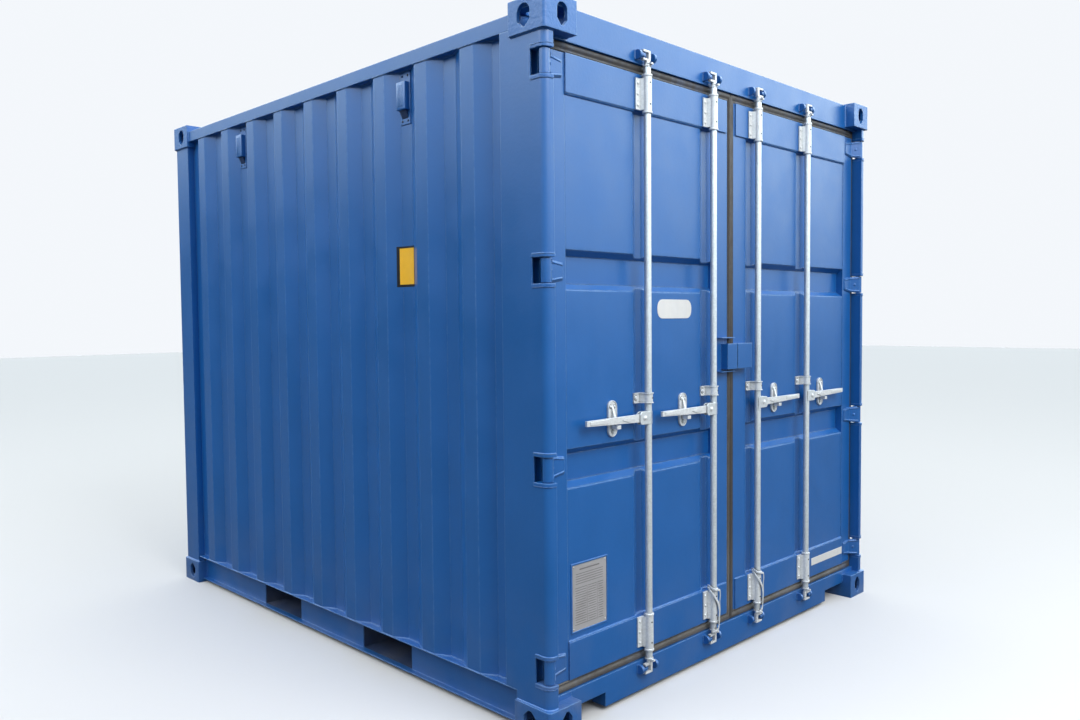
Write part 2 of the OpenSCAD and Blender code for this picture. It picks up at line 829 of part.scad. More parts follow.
module door_frame(side) {
    color("steelblue") on_side(side) {
        along_x(leaf_x - leaf_t, leaf_x) difference() {
            leaf_outline(side, 0, 0, 0, 0);
            translate([lock_stile_edge, panel_z0])
                square([leaf_hinge_y - hinge_stile_w - lock_stile_edge, panel_z1 - panel_z0]);
        }
        for (z = [leaf_z0, panel_z1])
            block([leaf_x, leaf_edge(side) + band_in, z], [band_x, leaf_hinge_y - hinge_stile_w, z + band_h]);
    }
}

module door_seal(side) {
    color("dimgray") on_side(side)
        along_x(leaf_x - leaf_t - seal_set, leaf_x - seal_set) difference() {
            leaf_outline(side, seal_side_w, seal_mid_w, seal_h, seal_h);
            leaf_outline(side, 0, 0, 0, 0);
        }
}

// Line of a door sheet across a leaf, as depth and distance from the middle
function field_line() =
    let (y0 = lock_stile_edge, y1 = leaf_hinge_y - hinge_stile_w, d = -channel_d,
         run = channel_half + channel_slope)
    concat([[0, y0]],
           [for (y = bar_ys, p = [[0, -run], [d, -channel_half], [d, channel_half], [0, run]])
               [p[0], y + p[1]]],
           [[0, y1]]);

// Line of a door sheet up a leaf, as depth and height
function groove_line() =
    let (half = groove_h / 2, low = half - groove_slope, d = -groove_d)
    concat([[0, panel_z0]],
           [for (z = [groove_low_z, groove_high_z], p = [[0, -half], [d, -low], [d, low], [0, half]])
               [p[0], z + p[1]]],
           [[0, panel_z1]]);

// Everything behind the surface of a door sheet, moved back by t and down to depth back
module panel_mass(t, back) {
    y0 = lock_stile_edge;
    y1 = leaf_hinge_y - hinge_stile_w;
    translate([field_x - t, 0, 0]) intersection() {
        upright(panel_z0, panel_z1) polygon(concat([[-back, y0]], field_line(), [[-back, y1]]));
        along_y(y0, y1) polygon(concat([[-back, panel_z0]], groove_line(), [[-back, panel_z1]]));
    }
}

module door_panel(side) {
    back = groove_d + sheet_t + cut;
    color("royalblue") on_side(side) difference() {
        panel_mass(0, back);
        panel_mass(sheet_t, back);
        block([field_x - back - cut, 0, 0], [field_x - groove_d - sheet_t, side_y, body_h]);
    }
}

// Hinges

// Outline of a hinge blade around its pin, as X and Y
module blade_outline() {
    face = pin_set - leaf_set;
    difference() {
        union() {
            circle(r = knuckle_r);
            polygon([[knuckle_r, 0], [knuckle_r - blade_shoulder, -blade_drop],
                     [face + blade_t, -blade_bend], [face + blade_t, -blade_reach],
                     [face, -blade_reach], [face, -blade_inner_bend],
                     [blade_root, -blade_root], [0, 0]]);
        }
        circle(r = pin_r + run_gap);
    }
}

module hinge_blades(side) {
    half = blade_h / 2;
    tip = blade_tip_h / 2;
    color("steelblue") on_side(side) for (z = hinge_zs) translate([pin_x, pin_y, z]) intersection() {
        upright(-half, half) blade_outline();
        along_x(-pin_x, knuckle_r) polygon([[knuckle_r, -half], [knuckle_r, half], [-knuckle_r, half],
                                            [-blade_reach, tip], [-blade_reach, -tip], [-knuckle_r, -half]]);
    }
}

module hinge_lugs(side) {
    gap_h = blade_h / 2 + blade_gap;
    color("steelblue") at_edge(1, side) for (z = hinge_zs) {
        for (s = [-1, 1]) translate([0, 0, z + s * (gap_h + lug_t / 2) - lug_t / 2])
            linear_extrude(lug_t)
                edge_rect([-pocket_d, -face_set - post_tube_w],
                          [lug_proud - face_set, lug_proud - face_set], lug_r);
        translate([-pin_set, -pin_set, z - gap_h]) cylinder(r = pin_r, h = 2 * gap_h);
    }
}

// Locking gear

// Outline of a bearing around a bar: ring, webs and base plate, the plate reaching towards dir
module bearing_outline(dir, reach, seat_x) {
    back = seat_x - bar_x;
    difference() {
        union() {
            circle(r = sleeve_r);
            translate([back, -sleeve_r / 2]) square([-back, sleeve_r]);
            translate([back, dir > 0 ? -sleeve_r / 2 : -reach])
                square([bearing_t, reach + sleeve_r / 2]);
            polygon([[back, 0], [back + bearing_t, dir * web_reach], [0, dir * (sleeve_r - 1)], [0, 0]]);
        }
        circle(r = bar_r + run_gap);
    }
}

module sleeve_outline() {
    difference() {
        circle(r = sleeve_r);
        circle(r = bar_r + run_gap);
    }
}

module bar_bearings(side) {
    dir = side < 0 ? 1 : -1;
    low_z = leaf_z0 + bearing_in;
    high_z = leaf_z1 - bearing_in;
    color("silver") on_side(side) for (y = bar_ys) translate([bar_x, y, 0]) {
        upright(high_z - bearing_plate_h, high_z) bearing_outline(dir, bearing_reach, band_x);
        upright(leaf_z1 - sleeve_h, leaf_z1) sleeve_outline();
        upright(low_z, low_z + bearing_plate_h) bearing_outline(dir, bearing_reach, band_x);
        upright(leaf_z0, leaf_z0 + sleeve_h) sleeve_outline();
    }
}

module guide_straps(side) {
    dir = side < 0 ? 1 : -1;
    color("silver") on_side(side) for (y = bar_ys) translate([bar_x, y, guide_z])
        upright(-guide_h / 2, guide_h / 2) bearing_outline(dir, guide_reach, field_x);
}

// A catch for a handle, drawn around the handle's middle line on the leaf's field
module handle_catch() {
    half = catch_h / 2 - catch_w / 2;
    reach = catch_off - pivot_off;
    seat_top = handle_rise(reach) - handle_h(reach) / 2 - seat_gap;
    front = handle_x + handle_t / 2 - field_x;
    behind = front - handle_t - seat_gap;
    translate([0, 0, catch_rise]) along_x(0, catch_t) {
        for (s = [-1, 1]) translate([0, s * half]) circle(d = catch_w);
        square([catch_w, 2 * half], center = true);
    }
    block([catch_t, -seat_w / 2, seat_top - seat_h], [front, seat_w / 2, seat_top]);
    along_y(-gusset_t / 2, gusset_t / 2)
        polygon([[catch_t, gusset_top], [behind, 0], [behind, seat_top], [catch_t, seat_top]]);
}

module handle_catches(side) {
    color("silver") on_side(side)
        for (y = bar_ys) translate([field_x, y + catch_off, handle_z]) handle_catch();
}

// A cam's outline: a rounded back with a claw towards +Y
module claw_outline() {
    intersection() {
        circle(r = cam_back);
        square([claw_w, 2 * cam_back], center = true);
    }
    translate([-claw_w / 2, 0]) square([claw_w, claw_reach]);
}

// A cam around its middle, with its collar, neck and tooth below it, drawn around the bar's axis
module cam() {
    half = cam_h / 2;
    mouth = half - claw_h;
    difference() {
        upright(-half, half) claw_outline();
        block([-claw_w, -mouth_end, -mouth], [claw_w, claw_reach + cut, mouth]);
    }
    translate([0, 0, -half - neck_h]) {
        cylinder(r = neck_r, h = neck_h);
        translate([0, -tooth_w / 2, 0]) cube([tooth_reach, tooth_w, tooth_h]);
        translate([0, 0, -collar_h]) cylinder(r = collar_r, h = collar_h);
    }
}

module cams(side, y) {
    color("silver") on_side(side) translate([bar_x, y, 0]) {
        translate([0, 0, cam_top_z]) cam();
        translate([0, 0, cam_low_z]) mirror([0, 0, 1]) cam();
    }
}

// Outline of one cheek of a hub, from the bar's axis towards +Y
module cheek_outline() {
    inner = hub_reach - hub_round;
    half = hub_h / 2;
    translate([0, -half]) square([inner, hub_h]);
    translate([0, hub_round - half]) square([hub_reach, hub_h - 2 * hub_round]);
    for (s = [-1, 1]) translate([inner, s * (half - hub_round)]) circle(r = hub_round);
}

module locking_bar(side, y) {
    clear = handle_t / 2 + cheek_gap;
    color("silver") on_side(side) {
        translate([bar_x, y, 0]) upright(bar_low_z, bar_high_z) circle(r = bar_r);
        translate([handle_x, y, handle_z]) {
            along_x(clear, clear + cheek_t) cheek_outline();
            along_x(-clear - cheek_t, -clear) cheek_outline();
            translate([0, pivot_off, 0]) rotate([0, 90, 0])
                cylinder(r = pivot_r, h = 2 * (clear + cheek_t), center = true);
        }
    }
}

// Height of a handle at the distance d from its pivot
function handle_h(d) =
    handle_root_h + (handle_tip_h - handle_root_h) * d / (handle_reach - pivot_off);

// Height of a handle's middle line above its pivot, at the distance d from it
function handle_rise(d) = tip_rise * d / (handle_reach - pivot_off);

module handle(side, y) {
    tip = handle_reach - pivot_off;
    root = handle_root_h / 2;
    end = handle_tip_h / 2;
    front = handle_x + handle_t / 2;
    color("silver") on_side(side) translate([0, y + pivot_off, handle_z]) {
        along_x(front - handle_t, front) difference() {
            union() {
                circle(r = root);
                polygon([[0, -root], [tip, tip_rise - end], [tip, tip_rise + end], [0, root]]);
            }
            circle(r = pivot_r + run_gap);
        }
        along_x(front, front + lozenge_t) translate([lozenge_off, handle_rise(lozenge_off)])
            polygon([[-lozenge_l / 2, 0], [0, -lozenge_h / 2], [lozenge_l / 2, 0], [0, lozenge_h / 2]]);
    }
}

// A keeper around a cam's middle, drawn on a face at X = 0: two rounded lugs, and a tongue at +Y
module keeper() {
    lug_in = keeper_half - keeper_lug_w;
    half = keeper_lug_h / 2;
    mid = bar_x - header_x;
    for (y = [-keeper_half, lug_in]) along_y(y, y + keeper_lug_w) intersection() {
        translate([0, -half]) square([keeper_lug_d, keeper_lug_h]);
        union() {
            translate([0, -half]) square([keeper_lug_d - half, keeper_lug_h]);
            translate([keeper_lug_d - half, 0]) circle(r = half);
        }
    }
    block([mid - claw_w / 2, cam_back + tongue_gap, -tongue_h / 2], [mid + claw_w / 2, lug_in, tongue_h / 2]);
}

module keepers() {
    color("steelblue") for (side = [-1, 1]) on_side(side)
        for (y = bar_ys, z = [cam_low_z, cam_top_z]) translate([header_x, y, z]) keeper();
}

// Lock box

// Half of the lock box, open towards the closing line and below, between two distances from the middle
module lock_half(side, edge, far) {
    low = lock_z - lock_box_h / 2;
    high = lock_z + lock_box_h / 2;
    front = leaf_x + lock_box_d;
    difference() {
        block([leaf_x, edge, low], [front, far, high]);
        block([leaf_x + light_t, edge - cut, low - cut], [front - light_t, far - light_t, high - light_t]);
        block([leaf_x - cut, edge - cut, low - cut], [leaf_x + light_t + cut, leaf_edge(side), high + cut]);
    }
}

module lock_bracket() {
    edge = split_off + lock_lip_set;
    low = lock_bracket_z - lock_bracket_h / 2;
    high = lock_bracket_z + lock_bracket_h / 2;
    color("steelblue") on_side(-1) {
        block([leaf_x, lock_plate_edge, low], [leaf_x + light_t, lock_bracket_edge, high]);
        for (z = [low, high - light_t])
            block([leaf_x, edge, z], [leaf_x + lock_bracket_d, lock_bracket_edge, z + light_t]);
        lock_half(-1, split_off + lock_set, lock_half_edge);
    }
}

module lock_box() {
    color("steelblue") lock_half(1, lock_set - split_off, lock_box_edge);
}

// Vents and plate

module vents() {
    color("steelblue") for (side = [-1, 1], k = vent_waves) on_side(side)
        translate([wave_x(k) - wave_flat - wave_slope - wave_gap / 2, wall_y - wave_d, vent_z]) {
            block([-vent_w / 2, 0, -vent_h / 2], [vent_w / 2, vent_t, vent_h / 2]);
            difference() {
                block([-hood_w / 2, vent_t, -hood_h / 2], [hood_w / 2, hood_d, hood_h / 2]);
                block([vent_t - hood_w / 2, 0, -hood_h / 2 - cut],
                      [hood_w / 2 - vent_t, hood_d - vent_t, hood_h / 2 - vent_t]);
            }
        }
}

module data_plate() {
    color("lightgray") translate([field_x, -plate_y, plate_z])
        block([0, -plate_w / 2, -plate_h / 2], [plate_t, plate_w / 2, plate_h / 2]);
}

castings(1);  // castings_top
castings(-1);  // castings_bottom
door_post(-1);  // door_post_left
door_post(1);  // door_post_right
end_post(-1);  // end_post_left
end_post(1);  // end_post_right
top_side_rail(-1);  // top_rail_left
top_side_rail(1);  // top_rail_right
bottom_side_rail(-1);  // bottom_rail_left
bottom_side_rail(1);  // bottom_rail_right
door_header();
door_sill();
end_top_rail();
end_bottom_rail();
roof();
side_wall(-1);  // side_wall_left
side_wall(1);  // side_wall_right
end_wall();
floor_board();  // floor
cross_members();
fork_pockets();
keepers();
vents();
for (side = [-1, 1]) hinge_lugs(side);
door_frame(-1);  // door_frame_left
door_frame(1);  // door_frame_right
door_panel(-1);  // door_panel_left
door_panel(1);  // door_panel_right
door_seal(-1);  // door_seal_left
door_seal(1);  // door_seal_right
hinge_blades(-1);  // hinge_blades_left
hinge_blades(1);  // hinge_blades_right
union() { bar_bearings(-1); guide_straps(-1); }  // bar_bearings_left
union() { bar_bearings(1); guide_straps(1); }  // bar_bearings_right
handle_catches(-1);  // handle_catches_left
handle_catches(1);  // handle_catches_right
lock_bracket();
lock_box();
data_plate();
locking_bar(-1, bar_outer_y);  // locking_bar_1
locking_bar(-1, bar_inner_y);  // locking_bar_2
locking_bar(1, bar_inner_y);  // locking_bar_3
locking_bar(1, bar_outer_y);  // locking_bar_4
cams(-1, bar_outer_y);  // cams_1
cams(-1, bar_inner_y);  // cams_2
cams(1, bar_inner_y);  // cams_3
cams(1, bar_outer_y);  // cams_4
handle(-1, bar_outer_y);  // handle_1
handle(-1, bar_inner_y);  // handle_2
handle(1, bar_inner_y);  // handle_3
handle(1, bar_outer_y);  // handle_4
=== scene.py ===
# %% [markdown]
# A ten-foot freight container, dressed for a photograph
#
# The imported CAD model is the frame: its solids already have the real sizes, the joints and the mounts.
# This script gives each solid a finish and adds the small pieces that a drawing leaves out, such as
# rivets, bolts, weld beads, seal lips and plates. Everything is in metres, with +Z up, the doors at +X
# and the long side that the camera sees at -Y.

# %% Load the frame
import json
import math
import random

import bmesh
import bpy
from mathutils import Matrix, Vector


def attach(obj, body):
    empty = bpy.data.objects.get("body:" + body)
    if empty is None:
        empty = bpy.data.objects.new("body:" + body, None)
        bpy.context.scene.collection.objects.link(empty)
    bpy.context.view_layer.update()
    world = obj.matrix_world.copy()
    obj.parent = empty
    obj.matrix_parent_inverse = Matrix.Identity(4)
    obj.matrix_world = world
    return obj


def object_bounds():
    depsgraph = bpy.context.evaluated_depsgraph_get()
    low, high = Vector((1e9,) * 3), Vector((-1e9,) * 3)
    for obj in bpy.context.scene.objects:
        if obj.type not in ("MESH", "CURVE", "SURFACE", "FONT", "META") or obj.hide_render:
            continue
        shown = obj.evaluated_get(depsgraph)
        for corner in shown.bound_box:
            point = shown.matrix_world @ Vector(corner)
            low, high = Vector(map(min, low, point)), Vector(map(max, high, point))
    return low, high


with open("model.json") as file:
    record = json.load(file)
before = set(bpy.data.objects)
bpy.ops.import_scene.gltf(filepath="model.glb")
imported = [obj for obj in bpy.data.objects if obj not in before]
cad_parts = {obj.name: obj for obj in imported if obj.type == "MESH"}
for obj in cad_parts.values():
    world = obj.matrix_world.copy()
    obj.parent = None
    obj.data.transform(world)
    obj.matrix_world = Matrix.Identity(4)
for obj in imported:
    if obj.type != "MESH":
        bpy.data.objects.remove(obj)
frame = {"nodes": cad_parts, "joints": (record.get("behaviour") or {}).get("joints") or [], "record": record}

cad_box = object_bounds()
nodes = frame["nodes"]
joints = {j["name"]: j for j in frame["joints"]}
random.seed(7)

# %% [markdown]
# Camera
#
# The camera's position, heading and lens were solved from the corner castings: these have known sizes and places, so
# their corners in the picture fix them. Here the solved values are set as given. The camera stands off the front
# corner, a little above the middle of the box, and looks slightly down.

# %% Camera
CAMERA_AT = Vector((3.6067, -3.3615, 1.4904))
CAMERA_HEADING = math.radians(45.031)
CAMERA_PITCH = math.radians(-2.654)
CAMERA_ROLL = math.radians(-0.513)
FOCAL_PX, PHOTO_W_PX, SENSOR_W = 884.1, 1080, 36.0

camera_data = bpy.data.cameras.new("camera")
camera_data.sensor_fit = "HORIZONTAL"
camera_data.sensor_width = SENSOR_W
camera_data.lens = FOCAL_PX / PHOTO_W_PX * SENSOR_W
camera = bpy.data.objects.new("camera", camera_data)
bpy.context.scene.collection.objects.link(camera)
camera.matrix_world = (
    Matrix.Translation(CAMERA_AT)
    @ Matrix.Rotation(CAMERA_HEADING, 4, "Z")
    @ Matrix.Rotation(math.pi / 2 + CAMERA_PITCH, 4, "X")
    @ Matrix.Rotation(CAMERA_ROLL, 4, "Z")
)
bpy.context.scene.camera = camera
bpy.context.scene.view_settings.view_transform = "Standard"
print("lens, mm:", round(camera_data.lens, 2))

# %% [markdown]
# Tools for shaders
#
# A shader is a small graph of nodes. These helpers make a node, fill its inputs with a number, a colour or
# a link, and name the few sums and mixes that every finish needs.


# %% Nodes of a shader
def shader_tree(owner):
    """An empty node tree of a material or world."""
    owner.use_nodes = True
    owner.node_tree.nodes.clear()
    return owner.node_tree


def plug(tree, slot, value):
    """Fill an input with a number or colour, or link it to an output."""
    if isinstance(value, (int, float, tuple)):
        slot.default_value = value
    else:
        tree.links.new(value, slot)


def fill(tree, slots, **values):
    for key, value in values.items():
        plug(tree, slots[key.replace("_", " ")], value)


def add_node(tree, kind, **settings):
    """A node of that kind. Settings that name an input fill it, the others are the node's own."""
    made = tree.nodes.new(kind)
    for key, value in settings.items():
        if hasattr(made, key):
            setattr(made, key, value)
        else:
            fill(tree, made.inputs, **{key: value})
    return made


def remap(tree, source, low, high, to_low, to_high):
    """A clamped linear change of range."""
    return add_node(tree, "ShaderNodeMapRange", Value=source, From_Min=low, From_Max=high,
                    To_Min=to_low, To_Max=to_high).outputs["Result"]


def combine(tree, operation, a, b, kind="ShaderNodeMath"):
    """A sum, product or other operation over two sockets or values."""
    made = add_node(tree, kind, operation=operation)
    plug(tree, made.inputs[0], a)
    plug(tree, made.inputs[1], b)
    return made.outputs["Value"]


def dot(tree, a, b):
    return combine(tree, "DOT_PRODUCT", a, b, "ShaderNodeVectorMath")


def product(tree, first, *others):
    for value in others:
        first = combine(tree, "MULTIPLY", first, value)
    return first


def blend(tree, factor, a, b, mode="MIX"):
    """A colour mix of sockets or colours."""
    made = add_node(tree, "ShaderNodeMix", data_type="RGBA", blend_type=mode, Factor=factor)
    plug(tree, made.inputs[6], a)
    plug(tree, made.inputs[7], b)
    return made.outputs[2]


def choose_shader(tree, factor, first, second, output):
    """Mix two shaders into the tree's output node."""
    mix = add_node(tree, "ShaderNodeMixShader")
    for slot, source in zip(mix.inputs, (factor, first.outputs[0], second.outputs[0])):
        plug(tree, slot, source)
    add_node(tree, output, Surface=mix.outputs[0])


print("shader tools ready")

# %% [markdown]
# Studio
#
# The real container stands under a bright, hazy sky. A large soft lamp high in front of the doors stands
# for the brightest part of that sky, so the door end is lighter than the long side and the tops are lighter
# than the feet. The camera sees a pale world. A reflection sees a sky that brightens upwards and a floor that
# is darker than it looks, as yard ground is, so that the glossy paint keeps its deep colour.

# %% World
SKY_LOW, SKY_WHITE, SKY_BLUE = (0.018, 0.032, 0.055, 1), (0.95, 0.98, 1.0, 1), (0.76, 0.91, 1.0, 1)
SKY_AS_LIGHT, SKY_IN_PAINT = 0.80, 6.0
# The sky opens lower in front of the doors than beside the long wall
SKY_TILT = (0.055, 0.055, 1.0)
# Height over the horizon, as a sine, where the sky begins and where it is fully open
SKY_FROM, SKY_OPEN = 0.045, 0.31
# From this height on the sky gets brighter, up to this gain straight overhead
ZENITH_FROM, ZENITH_GAIN = 0.35, 1.35
BACKDROP, BACKDROP_STRENGTH = (0.93, 0.96, 1.0, 1), 0.97


def make_world():
    world = bpy.data.worlds.new("studio")
    bpy.context.scene.world = world
    tree = shader_tree(world)
    path = add_node(tree, "ShaderNodeLightPath").outputs
    glossy = path["Is Glossy Ray"]
    up = dot(tree, add_node(tree, "ShaderNodeTexCoord").outputs["Generated"], SKY_TILT)
    high = blend(tree, glossy, SKY_WHITE, SKY_BLUE)
    sky = blend(tree, remap(tree, up, SKY_FROM, SKY_OPEN, 0.0, 1.0), SKY_LOW, high)
    strength = remap(tree, glossy, 0.0, 1.0, SKY_AS_LIGHT, SKY_IN_PAINT)
    zenith = remap(tree, up, ZENITH_FROM, 1.0, 1.0, ZENITH_GAIN)
    lit = add_node(tree, "ShaderNodeBackground", Color=sky, Strength=product(tree, strength, zenith))
    shown = add_node(tree, "ShaderNodeBackground", Color=BACKDROP, Strength=BACKDROP_STRENGTH)
    choose_shader(tree, path["Is Camera Ray"], lit, shown, "ShaderNodeOutputWorld")
    print("world of", len(tree.nodes), "nodes")


make_world()

# %% Floor
FLOOR_HALF, FLOOR_ROUGH = 40.0, 0.9
FLOOR_SHOWN, FLOOR_AS_GROUND = (0.62, 0.62, 0.62, 1), (0.09, 0.09, 0.09, 1)


def make_floor(half):
    mesh = bpy.data.meshes.new("studio_floor")
    mesh.from_pydata([(-half, -half, 0), (half, -half, 0), (half, half, 0), (-half, half, 0)], [], [(0, 1, 2, 3)])
    floor = bpy.data.objects.new("studio_floor", mesh)
    bpy.context.scene.collection.objects.link(floor)
    material = bpy.data.materials.new("studio_floor")
    tree = shader_tree(material)
    seen = add_node(tree, "ShaderNodeLightPath").outputs["Is Camera Ray"]
    pale, dark = [add_node(tree, "ShaderNodeBsdfPrincipled", Base_Color=tone, Roughness=FLOOR_ROUGH)
                  for tone in (FLOOR_SHOWN, FLOOR_AS_GROUND)]
    choose_shader(tree, seen, dark, pale, "ShaderNodeOutputMaterial")
    mesh.materials.append(material)
    print("floor", 2 * half, "m wide")


make_floor(FLOOR_HALF)

# %% Lamps
LAMP_SIZE = 5.0
# Name, place, the point it looks at, and power in watts
LAMPS = (("door_side_sky", (7.0, -0.6, 6.2), (1.4, 0, 1.5), 520),
         ("long_side_sky", (-1.5, -8.0, 7.0), (0, -1.2, 1.8), 310))

for name, at, target, power in LAMPS:
    data = bpy.data.lights.new(name, "AREA")
    data.shape, data.size, data.energy = "SQUARE", LAMP_SIZE, power
    lamp = bpy.data.objects.new(name, data)
    lamp.location = at
    lamp.rotation_euler = (Vector(target) - Vector(at)).to_track_quat("-Z", "Y").to_euler()
    bpy.context.scene.collection.objects.link(lamp)
    print("lamp", name, power, "W")

# %% [markdown]
# Shader groups
#
# Three effects return on several finishes, so each is a node group with named sockets: a slow change of
# tone with faint streaks, the wear and painted highlight along edges, and the small relief of a sprayed or cast
# skin. All of them read object coordinates, so that a door keeps its pattern when it swings.

# %% Tools for groups
FLOAT, COLOUR, VECTOR = "NodeSocketFloat", "NodeSocketColor", "NodeSocketVector"


def new_group(name, inputs, outputs):
    """A group with the given inputs and their usual values, and with outputs of the given kinds."""
    group = bpy.data.node_groups.new(name, "ShaderNodeTree")
    for label, value in inputs.items():
        kind = COLOUR if isinstance(value, tuple) else FLOAT
        group.interface.new_socket(label, in_out="INPUT", socket_type=kind).default_value = value
    for label, kind in outputs.items():
        group.interface.new_socket(label, in_out="OUTPUT", socket_type=kind)
    print("group", name, "with sockets", list(inputs), list(outputs))
    return group, add_node(group, "NodeGroupInput").outputs, add_node(group, "NodeGroupOutput").inputs


def object_place(tree):
    return add_node(tree, "ShaderNodeTexCoord").outputs["Object"]


def object_noise(tree, scale, detail, stretch=None):
    """Noise over object coordinates, stretched by a factor along each axis if asked."""
    place = object_place(tree)
    if stretch:
        place = add_node(tree, "ShaderNodeMapping", Vector=place, Scale=stretch).outputs["Vector"]
    return add_node(tree, "ShaderNodeTexNoise", Vector=place, Scale=scale, Detail=detail).outputs["Fac"]


def patches(tree, noise, to_low, to_high, stretch=None):
    """Soft patches between two levels. noise is its scale, its detail and its lowest and highest value used."""
    scale, detail, low, high = noise
    return remap(tree, object_noise(tree, scale, detail, stretch), low, high, to_low, to_high)


# %% Group: tone of a painted or coated skin
SLOW_NOISE, FINE_NOISE, SLOW_SHARE, FINE_SHARE = (1.1, 4.0, 0.35, 0.65), (38.0, 4.0, 0.35, 0.7), 0.7, 0.3
STREAK_NOISE, STREAK_STRETCH, STREAK_TONE = (1.0, 3.0, 0.5, 0.75), (17.0, 17.0, 0.7), (0.09, 0.19, 0.40, 1)
DUST_NOISE, DUST_TOP, DUST_TONE = (5.0, 6.0, 0.4, 0.7), 0.55, (0.27, 0.25, 0.22, 1)


def make_tone_group():
    group, given, result = new_group("skin_tone", {"Colour": (0.5, 0.5, 0.5, 1), "Variation": 0.1, "Streaks": 0.1,
                                                   "Dust": 0.2}, {"Colour": COLOUR, "Mask": FLOAT})
    slow = product(group, patches(group, SLOW_NOISE, -1.0, 1.0), SLOW_SHARE)
    fine = product(group, patches(group, FINE_NOISE, -1.0, 1.0), FINE_SHARE)
    gain = combine(group, "ADD", product(group, combine(group, "ADD", slow, fine), given["Variation"]), 1.0)
    grey = add_node(group, "ShaderNodeCombineColor", Red=gain, Green=gain, Blue=gain).outputs[0]
    toned = blend(group, 1.0, given["Colour"], grey, "MULTIPLY")
    streaks = product(group, patches(group, STREAK_NOISE, 0.0, 1.0, STREAK_STRETCH), given["Streaks"])
    height = add_node(group, "ShaderNodeSeparateXYZ", Vector=object_place(group)).outputs["Z"]
    low = remap(group, height, 0.0, DUST_TOP, 1.0, 0.0)
    dust = product(group, low, patches(group, DUST_NOISE, 0.15, 1.0), given["Dust"])
    fill(group, result, Colour=blend(group, dust, blend(group, streaks, toned, STREAK_TONE), DUST_TONE),
         Mask=combine(group, "ADD", dust, streaks))
    return group


tone_group = make_tone_group()

# %% Group: wear and painted highlight along edges
# One less the cosine between the rounded and the flat face, where wear begins and where it is full
EDGE_FROM, EDGE_FULL = 0.008, 0.09
EDGE_NOISE = (45.0, 6.0, 0.36, 0.60)


def make_edge_group():
    group, given, result = new_group("edge_wear", {"Radius": 0.003, "Amount": 0.5}, {"Mask": FLOAT, "Normal": VECTOR})
    rounded = add_node(group, "ShaderNodeBevel", samples=4, Radius=given["Radius"]).outputs[0]
    flat = add_node(group, "ShaderNodeNewGeometry").outputs["Normal"]
    bend = combine(group, "SUBTRACT", 1.0, dot(group, rounded, flat))
    turn = remap(group, bend, EDGE_FROM, EDGE_FULL, 0.0, 1.0)
    # The mask lightens edges and folds: partly wear, partly a painted highlight.
    fill(group, result, Mask=product(group, turn, patches(group, EDGE_NOISE, 0.25, 1.0), given["Amount"]),
         Normal=rounded)
    return group


edge_group = make_edge_group()

# %% Group: relief of a sprayed or cast skin
# Noise scale, noise detail and usual amount of each kind of relief
RELIEFS = {"Peel": (420.0, 2.0, 1.0), "Grain": (90.0, 5.0, 0.3), "Waviness": (3.2, 1.0, 1.0)}


def make_relief_group():
    group, given, result = new_group("skin_relief", {label: usual for label, (scale, detail, usual) in RELIEFS.items()},
                                     {"Height": FLOAT})
    peel, grain, wave = [product(group, object_noise(group, scale, detail), given[label])
                         for label, (scale, detail, usual) in RELIEFS.items()]
    fill(group, result, Height=combine(group, "ADD", combine(group, "ADD", peel, grain), wave))
    return group


relief_group = make_relief_group()

# %% [markdown]
# Finishes
#
# The paint is a sprayed two-coat marine blue: deep, even, with a soft gloss and a fine orange peel. The
# locking gear is hot-dip galvanised, which leaves pale crystals, called spangle, on the steel. The seals
# are moulded rubber, and the floor is marine plywood. Each finish is one shader with its own constants.


# %% Tools for finishes
def use_group(tree, group, **values):
    return add_node(tree, "ShaderNodeGroup", node_tree=group, **values).outputs


def surface(name, **settings):
    """A material with one Principled BSDF, whose sockets take the given constants."""
    material = bpy.data.materials.new(name)
    tree = shader_tree(material)
    bsdf = add_node(tree, "ShaderNodeBsdfPrincipled", **settings)
    add_node(tree, "ShaderNodeOutputMaterial", Surface=bsdf.outputs[0])
    print("finish", name)
    return material, tree, bsdf.inputs


def relief(tree, distance, normal=None, **amounts):
    """The normal of a skin's small relief, on top of the rounded edges' normal if one is given."""
    height = use_group(tree, relief_group, **amounts)["Height"]
    made = add_node(tree, "ShaderNodeBump", Distance=distance, Height=height)
    if normal:
        plug(tree, made.inputs["Normal"], normal)
    return made.outputs[0]


# %% Finishes of painted steel
# The lighter edge blue is wear together with a painted highlight along folds and rims.
# The underside's near-black blue is a dark base coat together with painted shade, which keeps the fork pockets black.
BLUE, BASE_AND_SHADE_BLUE, WORN_AND_HIGHLIGHT_BLUE = (0.0065, 0.092, 0.312, 1), (0.004, 0.020, 0.070, 1), (0.13, 0.27, 0.52, 1)
PAINT_RELIEF = 0.0007


def make_paint(name, colour, rough=0.34, streaks=0.025, dust=0.15, edge=0.35, grain=0.3, waviness=1.0, rounding=0.005):
    """Sprayed paint on steel: tone, dust near the ground, edges lightened by wear and a painted highlight, and orange
    peel.
    """
    material, tree, slots = surface(name, Specular_IOR_Level=0.42, Coat_Weight=0.08, Coat_Roughness=0.14)
    tone = use_group(tree, tone_group, Colour=colour, Variation=0.05, Streaks=streaks, Dust=dust)
    edges = use_group(tree, edge_group, Radius=rounding, Amount=edge)
    patch = patches(tree, (7.0, 5.0, 0.3, 0.7), rough - 0.05, rough + 0.07)
    # Edges blend to the lighter blue: wear together with a painted highlight.
    fill(tree, slots, Base_Color=blend(tree, edges["Mask"], tone["Colour"], WORN_AND_HIGHLIGHT_BLUE),
         Roughness=combine(tree, "ADD", patch, product(tree, tone["Mask"], 0.3)),
         Normal=relief(tree, PAINT_RELIEF, edges["Normal"], Peel=0.10, Grain=grain, Waviness=waviness))
    return material


